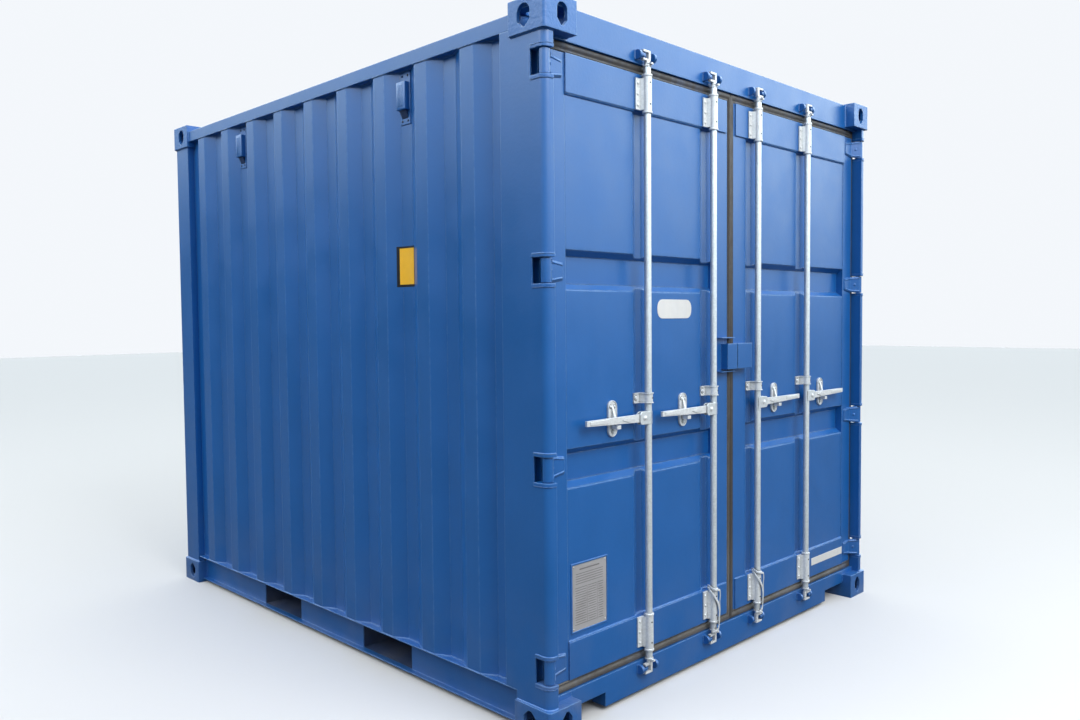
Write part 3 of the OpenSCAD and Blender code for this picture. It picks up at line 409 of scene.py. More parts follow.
# Each finish's edge amount sets how strongly wear and a painted highlight lighten its edges.
sheet_paint = make_paint("blue_sheet_paint", BLUE, edge=0.55, waviness=2.2, rounding=0.009)
frame_paint = make_paint("blue_frame_paint", BLUE, waviness=0.4, grain=0.5, edge=0.6)
cast_paint = make_paint("blue_cast_paint", BLUE, rough=0.42, waviness=0.3, grain=2.2, edge=0.8, dust=0.4)
# Near-black base coat with painted shade, for the underside and the vent outlets.
base_paint = make_paint("dark_base_paint", BASE_AND_SHADE_BLUE, rough=0.6, waviness=0.3, grain=1.0, dust=0.2, streaks=0.05)

# %% Finishes of galvanised steel
# The paler zinc at edges is a painted highlight; the darker zinc in inner corners, led by ambient occlusion, is painted
# shade with grime.
ZINC_EDGE_HIGHLIGHT, ZINC_CORNER_SHADE = (0.86, 0.88, 0.89, 1), (0.10, 0.10, 0.105, 1)
SPANGLE_SCALE, CORNER_SHADE_REACH = 160.0, 0.016


def make_galvanised(name, dark_crystal, pale_crystal, dull_zinc, metallic):
    """Hot-dip zinc: pale grey with faint spangle and dull patches, a painted highlight on its edges, and painted shade
    with grime in its inner corners.
    """
    material, tree, slots = surface(name, Metallic=metallic)
    crystals = add_node(tree, "ShaderNodeTexVoronoi", Vector=object_place(tree), Scale=SPANGLE_SCALE)
    shade = remap(tree, crystals.outputs["Color"], 0.0, 1.0, 0.0, 1.0)
    dull = patches(tree, (14.0, 6.0, 0.5, 0.75), 0.0, 0.4)
    skin = blend(tree, dull, blend(tree, shade, dark_crystal, pale_crystal), dull_zinc)
    edges = use_group(tree, edge_group, Radius=0.0025, Amount=0.5)
    # Edges get the paler zinc as a painted highlight, and inner corners darken with painted shade and grime.
    bright = blend(tree, edges["Mask"], skin, ZINC_EDGE_HIGHLIGHT)
    open_air = add_node(tree, "ShaderNodeAmbientOcclusion", samples=6, Distance=CORNER_SHADE_REACH).outputs["AO"]
    corner_shade = remap(tree, open_air, 0.25, 0.85, 0.8, 0.0)
    rough = combine(tree, "ADD", remap(tree, shade, 0.0, 1.0, 0.30, 0.40), product(tree, dull, 0.3))
    fill(tree, slots, Base_Color=blend(tree, corner_shade, bright, ZINC_CORNER_SHADE), Roughness=rough,
         Normal=relief(tree, 0.0006, edges["Normal"], Peel=0.2, Grain=0.8, Waviness=0.0))
    return material


bar_zinc = make_galvanised("galvanised_bar", (0.52, 0.54, 0.55, 1), (0.64, 0.66, 0.67, 1), (0.42, 0.43, 0.44, 1), 0.4)
zinc = make_galvanised("galvanised_fitting", (0.56, 0.58, 0.59, 1), (0.70, 0.72, 0.73, 1), (0.46, 0.47, 0.48, 1), 0.1)

# %% Finishes of rubber and plywood
# The rubber's paler edge colour is dust together with a painted highlight.
RUBBER_TONE, RUBBER_DUST_AND_HIGHLIGHT = (0.040, 0.034, 0.031, 1), (0.12, 0.11, 0.105, 1)
DARK_GRAIN, PALE_GRAIN, SCUFFED = (0.20, 0.105, 0.05, 1), (0.40, 0.25, 0.14, 1), (0.24, 0.20, 0.16, 1)
GRAIN_STRETCH = (1.5, 22.0, 22.0)


def make_rubber():
    """Moulded seal rubber, its lips lighter along their edges with dust and a painted highlight."""
    material, tree, slots = surface("seal_rubber", Specular_IOR_Level=0.35)
    tone = use_group(tree, tone_group, Colour=RUBBER_TONE, Variation=0.3, Streaks=0.15, Dust=0.4)
    edges = use_group(tree, edge_group, Radius=0.003, Amount=0.35)
    fill(tree, slots, Base_Color=blend(tree, edges["Mask"], tone["Colour"], RUBBER_DUST_AND_HIGHLIGHT),
         Roughness=patches(tree, (30.0, 4.0, 0.3, 0.7), 0.55, 0.75),
         Normal=relief(tree, 0.0006, Peel=0.4, Grain=0.8, Waviness=0.5))
    return material


def make_plywood():
    """Marine plywood panels across the box, with grain along them and a scuffed face."""
    material, tree, slots = surface("plywood", Specular_IOR_Level=0.3)
    grain = patches(tree, (3.0, 8.0, 0.3, 0.7), 0.0, 1.0, GRAIN_STRETCH)
    scuff = patches(tree, (6.0, 6.0, 0.5, 0.75), 0.0, 0.5)
    fill(tree, slots, Base_Color=blend(tree, scuff, blend(tree, grain, DARK_GRAIN, PALE_GRAIN), SCUFFED),
         Roughness=remap(tree, grain, 0.0, 1.0, 0.62, 0.48),
         Normal=add_node(tree, "ShaderNodeBump", Distance=0.0006, Height=grain).outputs[0])
    return material


rubber = make_rubber()
plywood = make_plywood()


# %% Finishes of plates and labels
def make_plain(name, colour, rough=0.4, metallic=0.0, shine=0.5):
    """A printed, enamelled or bare plate: an even colour with slight changes of tone and gloss."""
    material, tree, slots = surface(name, Metallic=metallic, Specular_IOR_Level=shine)
    tone = use_group(tree, tone_group, Colour=colour, Variation=0.08, Streaks=0.06, Dust=0.1)
    fill(tree, slots, Base_Color=tone["Colour"],
         Roughness=patches(tree, (20.0, 5.0, 0.3, 0.7), rough - 0.06, rough + 0.1),
         Normal=relief(tree, 0.0005, Peel=0.2, Grain=0.6, Waviness=0.2))
    return material


aluminium = make_plain("plate_aluminium", (0.34, 0.32, 0.32, 1), rough=0.45, metallic=0.3)
print_grey = make_plain("plate_print", (0.13, 0.12, 0.12, 1), rough=0.5)
enamel_white = make_plain("white_enamel", (0.66, 0.66, 0.65, 1), rough=0.45, shine=0.35)
enamel_yellow = make_plain("yellow_enamel", (0.95, 0.52, 0.02, 1), rough=0.35)
enamel_black = make_plain("black_enamel", (0.008, 0.008, 0.009, 1), rough=0.5, shine=0.12)

# %% [markdown]
# Finishes on the solids of the drawing
#
# The drawing names a material for each of its solids. Pressed sheets get the paint with the longest waves,
# cast pieces the roughest one, and the locking bars a zinc that is a little darker than the fittings'.

# %% Finish of each solid
FINISH_OF_SLOT = {"blue_paint": frame_paint, "base_paint": base_paint, "plywood": plywood, "seal_rubber": rubber,
                  "galvanised": zinc, "plate_aluminium": aluminium}
SHEET_NODES = ("roof", "side_wall_left", "side_wall_right", "end_wall", "door_panel_left", "door_panel_right")
CAST_NODES = ("castings_top", "castings_bottom", "hinge_lugs")
slot_of_node = {s["node"]: s["material_slot"] for s in frame["record"]["subparts"]}
for name, solid in nodes.items():
    finish = FINISH_OF_SLOT[slot_of_node[name]]
    if name in SHEET_NODES:
        finish = sheet_paint
    if name in CAST_NODES:
        finish = cast_paint
    if name.startswith("locking_bar"):
        finish = bar_zinc
    solid.data.materials.clear()
    solid.data.materials.append(finish)
print("materials:", len(bpy.data.materials), "on", len(nodes), "solids")

# %% [markdown]
# Tools for making small pieces
#
# A rivet, a weld or a seal lip is drawn once as a short list of points and then turned, swept or set down
# wherever the real object has it. Small pieces of one kind that move together go into one mesh, so that
# the model stays light. Sizes that the drawing already holds are read from its solids and joints.


# %% Places read from the drawing
def box_of(name):
    """The lowest and highest corner of a solid of the drawing."""
    points = [nodes[name].matrix_world @ v.co for v in nodes[name].data.vertices]
    return (Vector([min(p[i] for p in points) for i in range(3)]),
            Vector([max(p[i] for p in points) for i in range(3)]))


MM = 0.001
END_X, SIDE_Y, TOP_Z = cad_box[1][0], cad_box[1][1], cad_box[1][2]
CASTING_L, CASTING_W, CASTING_H = 178 * MM, 162 * MM, 118 * MM
# Posts and rails lie this far behind the castings' faces, and the grooves of the walls lie deeper
POST_FACE, GROOVE_DEPTH = 10 * MM, 36 * MM
BAND_X, FIELD_X, HEADER_X = [box_of(name)[1].x for name in ("door_frame_left", "door_panel_left", "door_header")]
LEAF_X = FIELD_X + 2 * MM
LEAF_Z = tuple(corner.z for corner in box_of("door_frame_left"))
BAR_X = joints["bar_1_turn"]["pos_m"][0]
BAR_YS = [joints["bar_%d_turn" % i]["pos_m"][1] for i in (1, 2, 3, 4)]
HANDLE_X, PIVOT_Z = joints["handle_1_lift"]["pos_m"][0], joints["handle_1_lift"]["pos_m"][2]
PIN_X, PIN_Y = joints["door_right_swing"]["pos_m"][0], joints["door_right_swing"]["pos_m"][1]
HINGE_ZS = (0.250, 0.966, 1.658, 2.368)
LEAVES = (("left", "door_left", BAR_YS[:2]), ("right", "door_right", BAR_YS[2:]))
print("leaf face", round(LEAF_X, 4), "band face", round(BAND_X, 4), "bars at", [round(y, 3) for y in BAR_YS])


# %% Meshes from points
def make_piece(name, finish, body, shapes, smooth=0.7):
    """One mesh of shapes that have one finish and move together."""
    points, faces = [], []
    for corners, sides in shapes:
        start = len(points)
        points += [tuple(p) for p in corners]
        faces += [[start + i for i in side] for side in sides]
    mesh = bpy.data.meshes.new(name)
    mesh.from_pydata(points, [], faces)
    made = bmesh.new()
    made.from_mesh(mesh)
    bmesh.ops.recalc_face_normals(made, faces=made.faces)
    made.to_mesh(mesh)
    made.free()
    mesh.polygons.foreach_set("use_smooth", [True] * len(mesh.polygons))
    mesh.set_sharp_from_angle(angle=smooth)
    piece = bpy.data.objects.new(name, mesh)
    bpy.context.scene.collection.objects.link(piece)
    mesh.materials.append(finish)
    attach(piece, body)
    print(name, "on", body, "with", len(faces), "faces")


def loops_to_shape(loops, capped=True):
    """Points and faces between closed loops that follow each other, with ends if asked."""
    n = len(loops[0])
    points = [p for loop in loops for p in loop]
    faces = []
    for k in range(len(loops) - 1):
        for i in range(n):
            j = (i + 1) % n
            faces.append([k * n + i, k * n + j, (k + 1) * n + j, (k + 1) * n + i])
    if capped:
        faces += [list(range(n)), [(len(loops) - 1) * n + i for i in range(n)]]
    return points, faces


def placed(shape, at, axis=(0, 0, 1), turn=0.0):
    """The shape with its own Z laid along axis and its origin at the given place."""
    points, faces = shape
    move = Matrix.Translation(Vector(at)) @ Vector(axis).to_track_quat("Z", "Y").to_matrix().to_4x4()
    move = move @ Matrix.Rotation(turn, 4, "Z")
    return [move @ Vector(p) for p in points], faces


def turned(profile, sides, capped=True):
    """A turned shape from radius and height pairs."""
    angles = [2 * math.pi * k / sides for k in range(sides)]
    return loops_to_shape([[(r * math.cos(a), r * math.sin(a), h) for a in angles] for r, h in profile], capped)


def rivet(radius, height):
    """A domed rivet head."""
    steps = [(math.cos(a), math.sin(a)) for a in (0.0, 0.35, 0.7, 1.05, 1.4)]
    return turned([(radius, -0.3 * MM)] + [(radius * c, height * s) for c, s in steps], 14)


print("a rivet head has", len(rivet(5 * MM, 3 * MM)[1]), "faces")

# %% [markdown]
# Welds of the frame and the skin
#
# A container is welded together along every joint. The beads lie in the inner corners: under and over the
# corner castings, where rails run into castings, along the feet and heads of the corrugated sheets, around
# the hinge lugs and the keepers. A bead is a small rounded section swept along the joint. Its size changes
# a little from step to step, which gives the ripple that a welder leaves.

# %% A weld bead
WELD_STEP, SMOOTH_STEP, RIPPLE = 5 * MM, 40 * MM, 0.14
# The bead's section, as shares of its size along its two feet
WELD_SHAPE = ((-0.2, -0.2), (1.0, -0.15), (0.92, 0.42), (0.68, 0.68), (0.42, 0.92), (-0.15, 1.0))


def even_steps(path, step):
    """Points at even steps along a polyline, each with the direction of its span."""
    made = []
    for a, b in zip(path, path[1:]):
        a, b = Vector(a), Vector(b)
        length = (b - a).length
        if length < 1e-6:
            continue
        count = max(1, round(length / step))
        made += [(a + (b - a) * k / count, (b - a) / length) for k in range(count)]
    return made + [(Vector(path[-1]), made[-1][1])]


def weld(path, legs, size, ripple=RIPPLE):
    """A bead in an inner corner. legs(direction) gives the two directions in which its feet reach."""
    loops = []
    for k, (point, direction) in enumerate(even_steps(path, WELD_STEP if ripple else SMOOTH_STEP)):
        first, second = legs(direction)
        s = size * (1 + ripple * (0.5 if k % 2 else -0.5) + ripple * random.uniform(-0.4, 0.4))
        loops.append([point + (first * (a * s) + second * (b * s)) for a, b in WELD_SHAPE])
    return loops_to_shape(loops)


def weld_line(a, b, first, second, size):
    """A straight bead from a to b."""
    feet = Vector(first), Vector(second)
    return weld([a, b], lambda direction: feet, size)


def upright_weld(x, y, low, high, first, second, size):
    """A bead up a corner, whose feet reach in two plan directions."""
    return weld_line((x, y, low), (x, y, high), (*first, 0), (*second, 0), size)


def weld_around(plan, z, up, size, outside):
    """A bead at the height z around upright faces, whose plan is passed with its outside on one hand."""
    rise = Vector((0, 0, up))

    def legs(direction):
        return Vector((direction.y, -direction.x, 0)) * outside, rise

    return weld([(x, y, z) for x, y in plan], legs, size)


# %% Welds of the posts and rails
POST_TOP_Z = TOP_Z - CASTING_H
FRAME_BEAD, LUG_BEAD, SHEET_BEAD = 5 * MM, 3.5 * MM, 4.5 * MM
# Rounding of a post's outer corner, and how far its end face reaches inwards
DOOR_POST, END_POST = (28 * MM, 53 * MM), (10 * MM, 109 * MM)
POST_BACK, RAIL_TOP_W, RAIL_WEB, RAIL_WEB_Z = CASTING_L - 3 * MM, 50 * MM, 53.5 * MM, (0.024, 0.146)


def post_plan(sx, sy, rounding, back, inner):
    """Outer line of a post: from its side face at depth back, round the corner, to width inner on its end face."""
    made = [(back, POST_FACE)]
    for k in range(9):
        a = k / 8 * math.pi / 2
        made.append((POST_FACE + rounding * (1 - math.sin(a)), POST_FACE + rounding * (1 - math.cos(a))))
    made.append((POST_FACE, inner))
    return [(sx * (END_X - d), sy * (SIDE_Y - w)) for d, w in made]


def corner_welds(sx, sy):
    """The beads over and under a post, and those of the rails that meet its castings."""
    rounding, inner = DOOR_POST if sx > 0 else END_POST
    plan = post_plan(sx, sy, rounding, POST_BACK, inner)
    outside = 1 if sx * sy < 0 else -1
    low, high = (corner.z for corner in box_of("top_rail_left"))
    x, y, web_y = sx * (END_X - CASTING_L), sy * (SIDE_Y - POST_FACE), sy * (SIDE_Y - RAIL_WEB)
    return [weld_around(plan, POST_TOP_Z, -1, FRAME_BEAD, outside),
            weld_around(plan, CASTING_H, 1, FRAME_BEAD, outside),
            upright_weld(x, y, low, high, (-sx, 0), (0, sy), FRAME_BEAD),
            weld_line((x, y, high), (x, y - sy * RAIL_TOP_W, high), (-sx, 0, 0), (0, 0, 1), FRAME_BEAD),
            upright_weld(x, web_y, *RAIL_WEB_Z, (-sx, 0), (0, sy), FRAME_BEAD)]


beads = []
for sx, sy in ((1, 1), (1, -1), (-1, 1), (-1, -1)):
    beads += corner_welds(sx, sy)
print("beads at the corners:", len(beads))

# %% Welds of header, sill, hinge lugs and keepers
HEADER_LOW_Z, SILL_HIGH_Z = box_of("door_header")[0].z + 18 * MM, box_of("door_sill")[1].z - 18 * MM
END_WELDS_Z = ((POST_TOP_Z, TOP_Z - 8 * MM), (0.080, CASTING_H))
LUG_EDGE, LUG_BACK, LUG_INNER = 57.5 * MM, 78 * MM, 50 * MM
# A keeper's middle lies this far from the header's or sill's edge; its two lugs stand beside the cam
KEEPER_IN, KEEPER_H, KEEPER_EDGE, KEEPER_LUG_W = 31 * MM, 36 * MM, 38 * MM, 12 * MM


def door_end_welds(sy):
    """The ends of header and sill at one post, and the rims of its hinge lugs."""
    made = [upright_weld(HEADER_X, sy * (SIDE_Y - CASTING_W), low, high, (1, 0), (0, -sy), FRAME_BEAD)
            for low, high in END_WELDS_Z]
    plan = post_plan(1, sy, DOOR_POST[0], LUG_BACK, LUG_INNER)
    return made + [weld_around(plan, z + up * LUG_EDGE, up, LUG_BEAD, 1 if sy < 0 else -1)
                   for z in HINGE_ZS for up in (1, -1)]


def keeper_welds(bar_y):
    """Upright beads on both sides of each keeper's lugs."""
    return [upright_weld(HEADER_X, bar_y + side * edge, z - KEEPER_H / 2, z + KEEPER_H / 2,
                         (1, 0), (0, side * away), LUG_BEAD)
            for z in (HEADER_LOW_Z + KEEPER_IN, SILL_HIGH_Z - KEEPER_IN) for side in (-1, 1)
            for away, edge in ((1, KEEPER_EDGE + KEEPER_LUG_W), (-1, KEEPER_EDGE))]


for sy in (1, -1):
    beads += door_end_welds(sy)
for bar_y in BAR_YS:
    beads += keeper_welds(bar_y)
make_piece("frame_welds", frame_paint, "container", beads)


# %% Welds along the feet and heads of the sheets
def edge_line(name, key, other, pick, z_of):
    """The outer line of a pressed sheet at one end of its height, read from its own corners."""
    points = [nodes[name].matrix_world @ v.co for v in nodes[name].data.vertices]
    z = z_of(p.z for p in points)
    table = {}
    for p in points:
        if abs(p.z - z) < 0.2 * MM:
            table.setdefault(round(p[key], 4), []).append(p[other])
    return [(k, pick(v)) for k, v in sorted(table.items())], z


beads = []
for name, pick, outside in (("side_wall_left", min, 1), ("side_wall_right", max, -1)):
    for z_of, up in ((min, 1), (max, -1)):
        line, z = edge_line(name, 0, 1, pick, z_of)
        beads.append(weld_around(line, z, up, SHEET_BEAD, outside))
for z_of, up in ((min, 1), (max, -1)):
    line, z = edge_line("end_wall", 1, 0, min, z_of)
    beads.append(weld_around([(x, y) for y, x in line], z, up, SHEET_BEAD, -1))
make_piece("sheet_welds", sheet_paint, "container", beads)

# %% [markdown]
# Sealed joints of the doors
#
# Where the pressed door sheet meets the bands, the joint is filled and painted over, which leaves a soft
# fillet that catches the light. It is a bead without ripple along the sheet's channels, whose line is read
# from the sheet itself.

# %% Fillets along the bands
FILLET = 7 * MM

for side_name, body, bar_ys in LEAVES:
    fillets = []
    for z_of, up in ((min, 1), (max, -1)):
        line, z = edge_line("door_panel_" + side_name, 1, 0, max, z_of)
        feet = Vector((1, 0, 0)), Vector((0, 0, up))
        fillets.append(weld([(x, y, z) for y, x in line], lambda direction: feet, FILLET, ripple=0))
    make_piece("band_fillets_" + side_name, sheet_paint, body, fillets)

# %% [markdown]
# Seals
#
# The real seal is an extruded rubber profile that runs round the leaf and is riveted behind its edge. Its
# front shows two soft ridges and a thin outer lip that bends against the frame. The profile is swept once
# round the leaf; on the hinge side it is narrow and flat, because there it passes the post when the door
# swings.

# %% Seal lips
SEAL_W = {"top": 33 * MM, "foot": 33 * MM, "hinge": 8 * MM, "middle": 20 * MM}
LIP_REACH = {"top": 4 * MM, "foot": 4 * MM, "hinge": 4 * MM, "middle": 3 * MM}
# Share of the seal's width, rise over the flat front in mm, share of the lip's reach
SEAL_PROFILE = (
    (0.02, -1.0, 0), (0.06, 2.6, 0), (0.14, 4.2, 0), (0.24, 3.2, 0), (0.32, 1.0, 0), (0.40, 0.8, 0),
    (0.50, 3.6, 0), (0.62, 6.0, 0), (0.76, 6.6, 0), (0.90, 5.2, 0), (1.0, 3.0, 0.3), (1.0, 1.6, 0.85),
    (1.0, 0.4, 1.0), (1.0, -1.0, 1.0), (1.0, -2.2, 0.8), (1.0, -3.0, 0.0), (0.9, -3.0, 0.0),
)
SEAL_FRONT, FLAT_RISE, CORNER_RUN = LEAF_X - 2 * MM, 0.3, 30 * MM


def seal_lips(side_name):
    sy = -1 if side_name == "left" else 1
    low, high = box_of("door_frame_" + side_name)
    middle, hinge = (low.y, high.y) if sy > 0 else (high.y, low.y)

    def line_round_leaf(share, rise, lip):
        """Points round the leaf for one line of the profile."""
        out = {edge: share * SEAL_W[edge] + lip * LIP_REACH[edge] for edge in SEAL_W}
        m, h = middle - sy * out["middle"], hinge + sy * out["hinge"]
        top, foot = high.z + out["top"], low.z - out["foot"]
        full, flat = SEAL_FRONT + rise * MM, SEAL_FRONT + min(rise, FLAT_RISE) * MM
        run = sy * CORNER_RUN
        return [(full, m, foot), (full, h - 2 * run, foot), (flat, h - run / 4, foot), (flat, h, foot),
                (flat, h, top), (flat, h - run / 4, top), (full, h - 2 * run, top), (full, m, top)]

    return loops_to_shape([line_round_leaf(*row) for row in SEAL_PROFILE], capped=False)


for side_name, body, bar_ys in LEAVES:
    make_piece("seal_lips_" + side_name, rubber, body, [seal_lips(side_name)], smooth=1.0)

# %% [markdown]
# Bearings and guides of the locking bars
#
# Each bar turns in long sleeves at the leaf's upper and lower edge and in a short guide at mid height. The
# sleeves end in rolled rims and carry two grease screws. Their base plates are riveted to the bands, and the
# guides are bolted to the field. The sleeves are solids of the drawing, so only this trim is added.

# %% Sleeves
SLEEVE_R, SLEEVE_H, RIM_H, RIM_PROUD = 18 * MM, 150 * MM, 9 * MM, 2 * MM
SLEEVES_Z = ((LEAF_Z[0], LEAF_Z[0] + SLEEVE_H), (LEAF_Z[1] - SLEEVE_H, LEAF_Z[1]))
SCREW_IN, SCREW_OUT, SCREW_AXIS = 34 * MM, SLEEVE_R - 0.6 * MM, (0.98, -0.17, 0)
GREASE_SCREW = turned([(3.4 * MM, -1 * MM), (3.4 * MM, 0.9 * MM), (2.4 * MM, 1.5 * MM)], 10)


def ring(inner, outer, height, chamfer):
    """A turned ring with chamfered outer edges."""
    return turned([(inner, 0), (outer - chamfer, 0), (outer, chamfer), (outer, height - chamfer),
                   (outer - chamfer, height), (inner, height), (inner, 0)], 32, capped=False)


def sleeve_rims(y):
    rim = ring(SLEEVE_R - 0.2 * MM, SLEEVE_R + RIM_PROUD, RIM_H, 1.5 * MM)
    return [placed(rim, (BAR_X, y, z)) for low, high in SLEEVES_Z for z in (low, high - RIM_H)]


def sleeve_screws(y):
    across, along = SCREW_OUT * SCREW_AXIS[0], SCREW_OUT * SCREW_AXIS[1]
    return [placed(GREASE_SCREW, (BAR_X + across, y + along, z), SCREW_AXIS)
            for low, high in SLEEVES_Z for z in (low + SCREW_IN, high - SCREW_IN)]


print("sleeves from", [round(low, 3) for low, high in SLEEVES_Z])

# %% Base plates and guides
BEARING_T, BEARING_MID, RIVET_OFF, RIVET_STEP = 6 * MM, 77 * MM, 36 * MM, 42 * MM
GUIDE_Z, GUIDE_H, GUIDE_REACH, GUIDE_BOLT_OFF = 1.179, 40 * MM, 56 * MM, 45 * MM
GUIDE_FACE, GUIDE_RIM_H, GUIDE_RIM_T = FIELD_X + BEARING_T, 3 * MM, 3.5 * MM


def hex_bolt(radius, height):
    """A hexagon head with a chamfered top on a washer."""
    washer = turned([(radius * 1.45, -0.3 * MM), (radius * 1.45, 1.2 * MM), (radius * 1.3, 1.6 * MM)], 20)
    head = turned([(radius, 1.4 * MM), (radius, height - 1.2 * MM), (radius * 0.86, height)], 6)
    shift = len(washer[0])
    return washer[0] + head[0], washer[1] + [[shift + i for i in face] for face in head[1]]


def offset_line(line, d):
    """An open plan line moved to its right hand by d."""
    made = []
    for i, p in enumerate(line):
        a, b = Vector(line[max(i - 1, 0)]), Vector(line[min(i + 1, len(line) - 1)])
        along = (b - a).normalized()
        made.append((p[0] + along.y * d, p[1] - along.x * d))
    return made


def strip_between(inner, outer, z0, z1):
    """A flat rim between two plan lines, from z0 to z1."""
    return loops_to_shape([[(a[0], a[1], z0), (b[0], b[1], z0), (b[0], b[1], z1), (a[0], a[1], z1)]
                           for a, b in zip(inner, outer)])


def base_plate_rivets(y):
    return [placed(rivet(6.5 * MM, 4 * MM), (BAND_X + BEARING_T, y - RIVET_OFF, middle + k * RIVET_STEP), (1, 0, 0))
            for middle in (LEAF_Z[0] + BEARING_MID, LEAF_Z[1] - BEARING_MID) for k in (-1, 0, 1)]


def guide_trim(y):
    """The bolt of a guide, and the rims that stiffen its bent strap."""
    bend = [math.radians(d) for d in range(-80, 81, 10)]
    line = [(GUIDE_FACE, y - GUIDE_REACH), (GUIDE_FACE, y - 25 * MM)]
    line += [(BAR_X + SLEEVE_R * math.cos(a), y + SLEEVE_R * math.sin(a)) for a in bend]
    made = [placed(hex_bolt(6.5 * MM, 6 * MM), (GUIDE_FACE, y - GUIDE_BOLT_OFF, GUIDE_Z), (1, 0, 0))]
    return made + [strip_between(line, offset_line(line, GUIDE_RIM_T), z, z + GUIDE_RIM_H)
                   for z in (GUIDE_Z - GUIDE_H / 2, GUIDE_Z + GUIDE_H / 2 - GUIDE_RIM_H)]


for side_name, body, bar_ys in LEAVES:
    metal, dark = [], []
    for y in bar_ys:
        metal += sleeve_rims(y) + base_plate_rivets(y) + guide_trim(y)
        spot = (BAR_X + SLEEVE_R - 1.2 * MM, y + 7 * MM, GUIDE_Z)
        dark += sleeve_screws(y) + [placed(GREASE_SCREW, spot, (0.93, 0.37, 0))]
    make_piece("bearing_trim_" + side_name, zinc, body, metal)
    make_piece("grease_screws_" + side_name, enamel_black, body, dark)

# %% [markdown]
# Straps at the two inner bars
#
# A bright steel strap hangs on the foot of each inner bar: it is looped over the lower sleeve, and its two
# ends run down the sleeve's side to the cam, where they are twisted together. A few points are listed round the
# bar, a smooth curve is laid through them, and a flat section follows the curve.

# %% Straps on the inner bars
STRAP_W, STRAP_T = 9 * MM, 3.2 * MM
STRAP_SECTION = ((-0.5, -0.35), (-0.5, 0.35), (-0.34, 0.5), (0.34, 0.5),
                 (0.5, 0.35), (0.5, -0.35), (0.34, -0.5), (-0.34, -0.5))
# Angle round the bar in degrees, height over the leaf's lower edge and distance from the bar's axis, in mm
STRAP_LOOP = ((-150, 158, 24), (-120, 160, 23), (-90, 156, 22), (-60, 150, 22), (-30, 146, 23), (0, 145, 25),
              (20, 140, 28), (24, 118, 29), (22, 90, 27), (24, 60, 28), (22, 30, 27), (24, 6, 26), (22, -14, 24),
              (14, -30, 22))
STRAP_ACROSS = ((-128, 154, 26), (-80, 136, 24), (-40, 116, 24), (-8, 92, 25), (8, 68, 26), (14, 44, 27),
                (10, 20, 26), (16, -4, 25), (4, -24, 24), (-30, -34, 23), (-70, -36, 23))


def smooth_curve(points):
    """A curve through the points, with four steps from each to the next."""
    curve, last = [points[0]], len(points) - 1
    for k in range(last):
        p0, p1, p2, p3 = points[max(k - 1, 0)], points[k], points[k + 1], points[min(k + 2, last)]
        for t in (0.25, 0.5, 0.75, 1.0):
            curve.append(0.5 * (2 * p1 + (p2 - p0) * t + (2 * p0 - 5 * p1 + 4 * p2 - p3) * t * t
                                + (3 * p1 - p0 - 3 * p2 + p3) * t ** 3))
    return curve


def strap_run(bar_y, turns):
    """A flat strap that follows points given round the bar."""
    curve = smooth_curve([Vector((BAR_X + r * MM * math.cos(math.radians(a)),
                                  bar_y + r * MM * math.sin(math.radians(a)), LEAF_Z[0] + z * MM))
                          for a, z, r in turns])
    loops = []
    for k, point in enumerate(curve):
        along = (curve[min(k + 1, len(curve) - 1)] - curve[max(k - 1, 0)]).normalized()
        out = Vector((point.x - BAR_X, point.y - bar_y, 0)).normalized()
        side = along.cross(out).normalized()
        out = side.cross(along).normalized()
        loops.append([point + side * (u * STRAP_W) + out * (v * STRAP_T) for u, v in STRAP_SECTION])
    return loops_to_shape(loops)


for bar_y, body in ((BAR_YS[1], "door_left"), (BAR_YS[2], "door_right")):
    make_piece("strap_" + body, zinc, body, [strap_run(bar_y, turns) for turns in (STRAP_LOOP, STRAP_ACROSS)])

# %% [markdown]
# Handles, hubs and catches
#
# A handle hangs on a pin between the two cheeks of its bar's hub. The pin's ends are peened over washers.
# Each catch is bolted to the field, with two bolts above the handle and one below it. Its raised rim and the
# dark discs of painted shadow and grime round the bolts are what makes it readable from a few metres away.


# %% Plates from outlines
def inset(loop, d):
    """A closed outline of 2-D points moved inwards by d."""
    n = len(loop)
    area = sum(loop[i][0] * loop[(i + 1) % n][1] - loop[(i + 1) % n][0] * loop[i][1] for i in range(n))
    sign = 1 if area > 0 else -1
    made = []
    for i in range(n):
        a, b, c = Vector(loop[i - 1]), Vector(loop[i]), Vector(loop[(i + 1) % n])
        u, v = (b - a).normalized(), (c - b).normalized()
        mid = Vector((-u.y, u.x)) * sign + Vector((-v.y, v.x)) * sign
        mid = mid / max(mid.length_squared / 2, 0.3)
        made.append(tuple(b + mid * d))
    return made


def rounded_rect(w, h, r, steps=5):
    """A rectangle around the origin with rounded corners."""
    corners = ((w / 2 - r, h / 2 - r), (r - w / 2, h / 2 - r), (r - w / 2, r - h / 2), (w / 2 - r, r - h / 2))
    made = []
    for start, (cx, cy) in enumerate(corners):
        for k in range(steps + 1):
            a = (start + k / steps) * math.pi / 2
            made.append((cx + r * math.cos(a), cy + r * math.sin(a)))
    return made


def plate(outline, thickness, chamfer):
    """A flat plate from an outline, standing on Z = 0, with a chamfered face edge."""
    return loops_to_shape([[(u, v, 0) for u, v in outline], [(u, v, thickness - chamfer) for u, v in outline],
                           [(u, v, thickness) for u, v in inset(outline, chamfer)]])


def on_door(shape, x, y, z):
    """A flat shape stood up so that it looks out of the doors."""
    return [(x + p[2], y + p[0], z + p[1]) for p in shape[0]], shape[1]


def on_side(shape, x, y, z, sy):
    """A flat shape stood up so that it looks out of a side wall."""
    return [(x + p[0], y + sy * p[2], z + p[1]) for p in shape[0]], shape[1]


print("a round-cornered plate has", len(plate(rounded_rect(0.1, 0.1, 0.01), 1 * MM, 0.5 * MM)[1]), "faces")

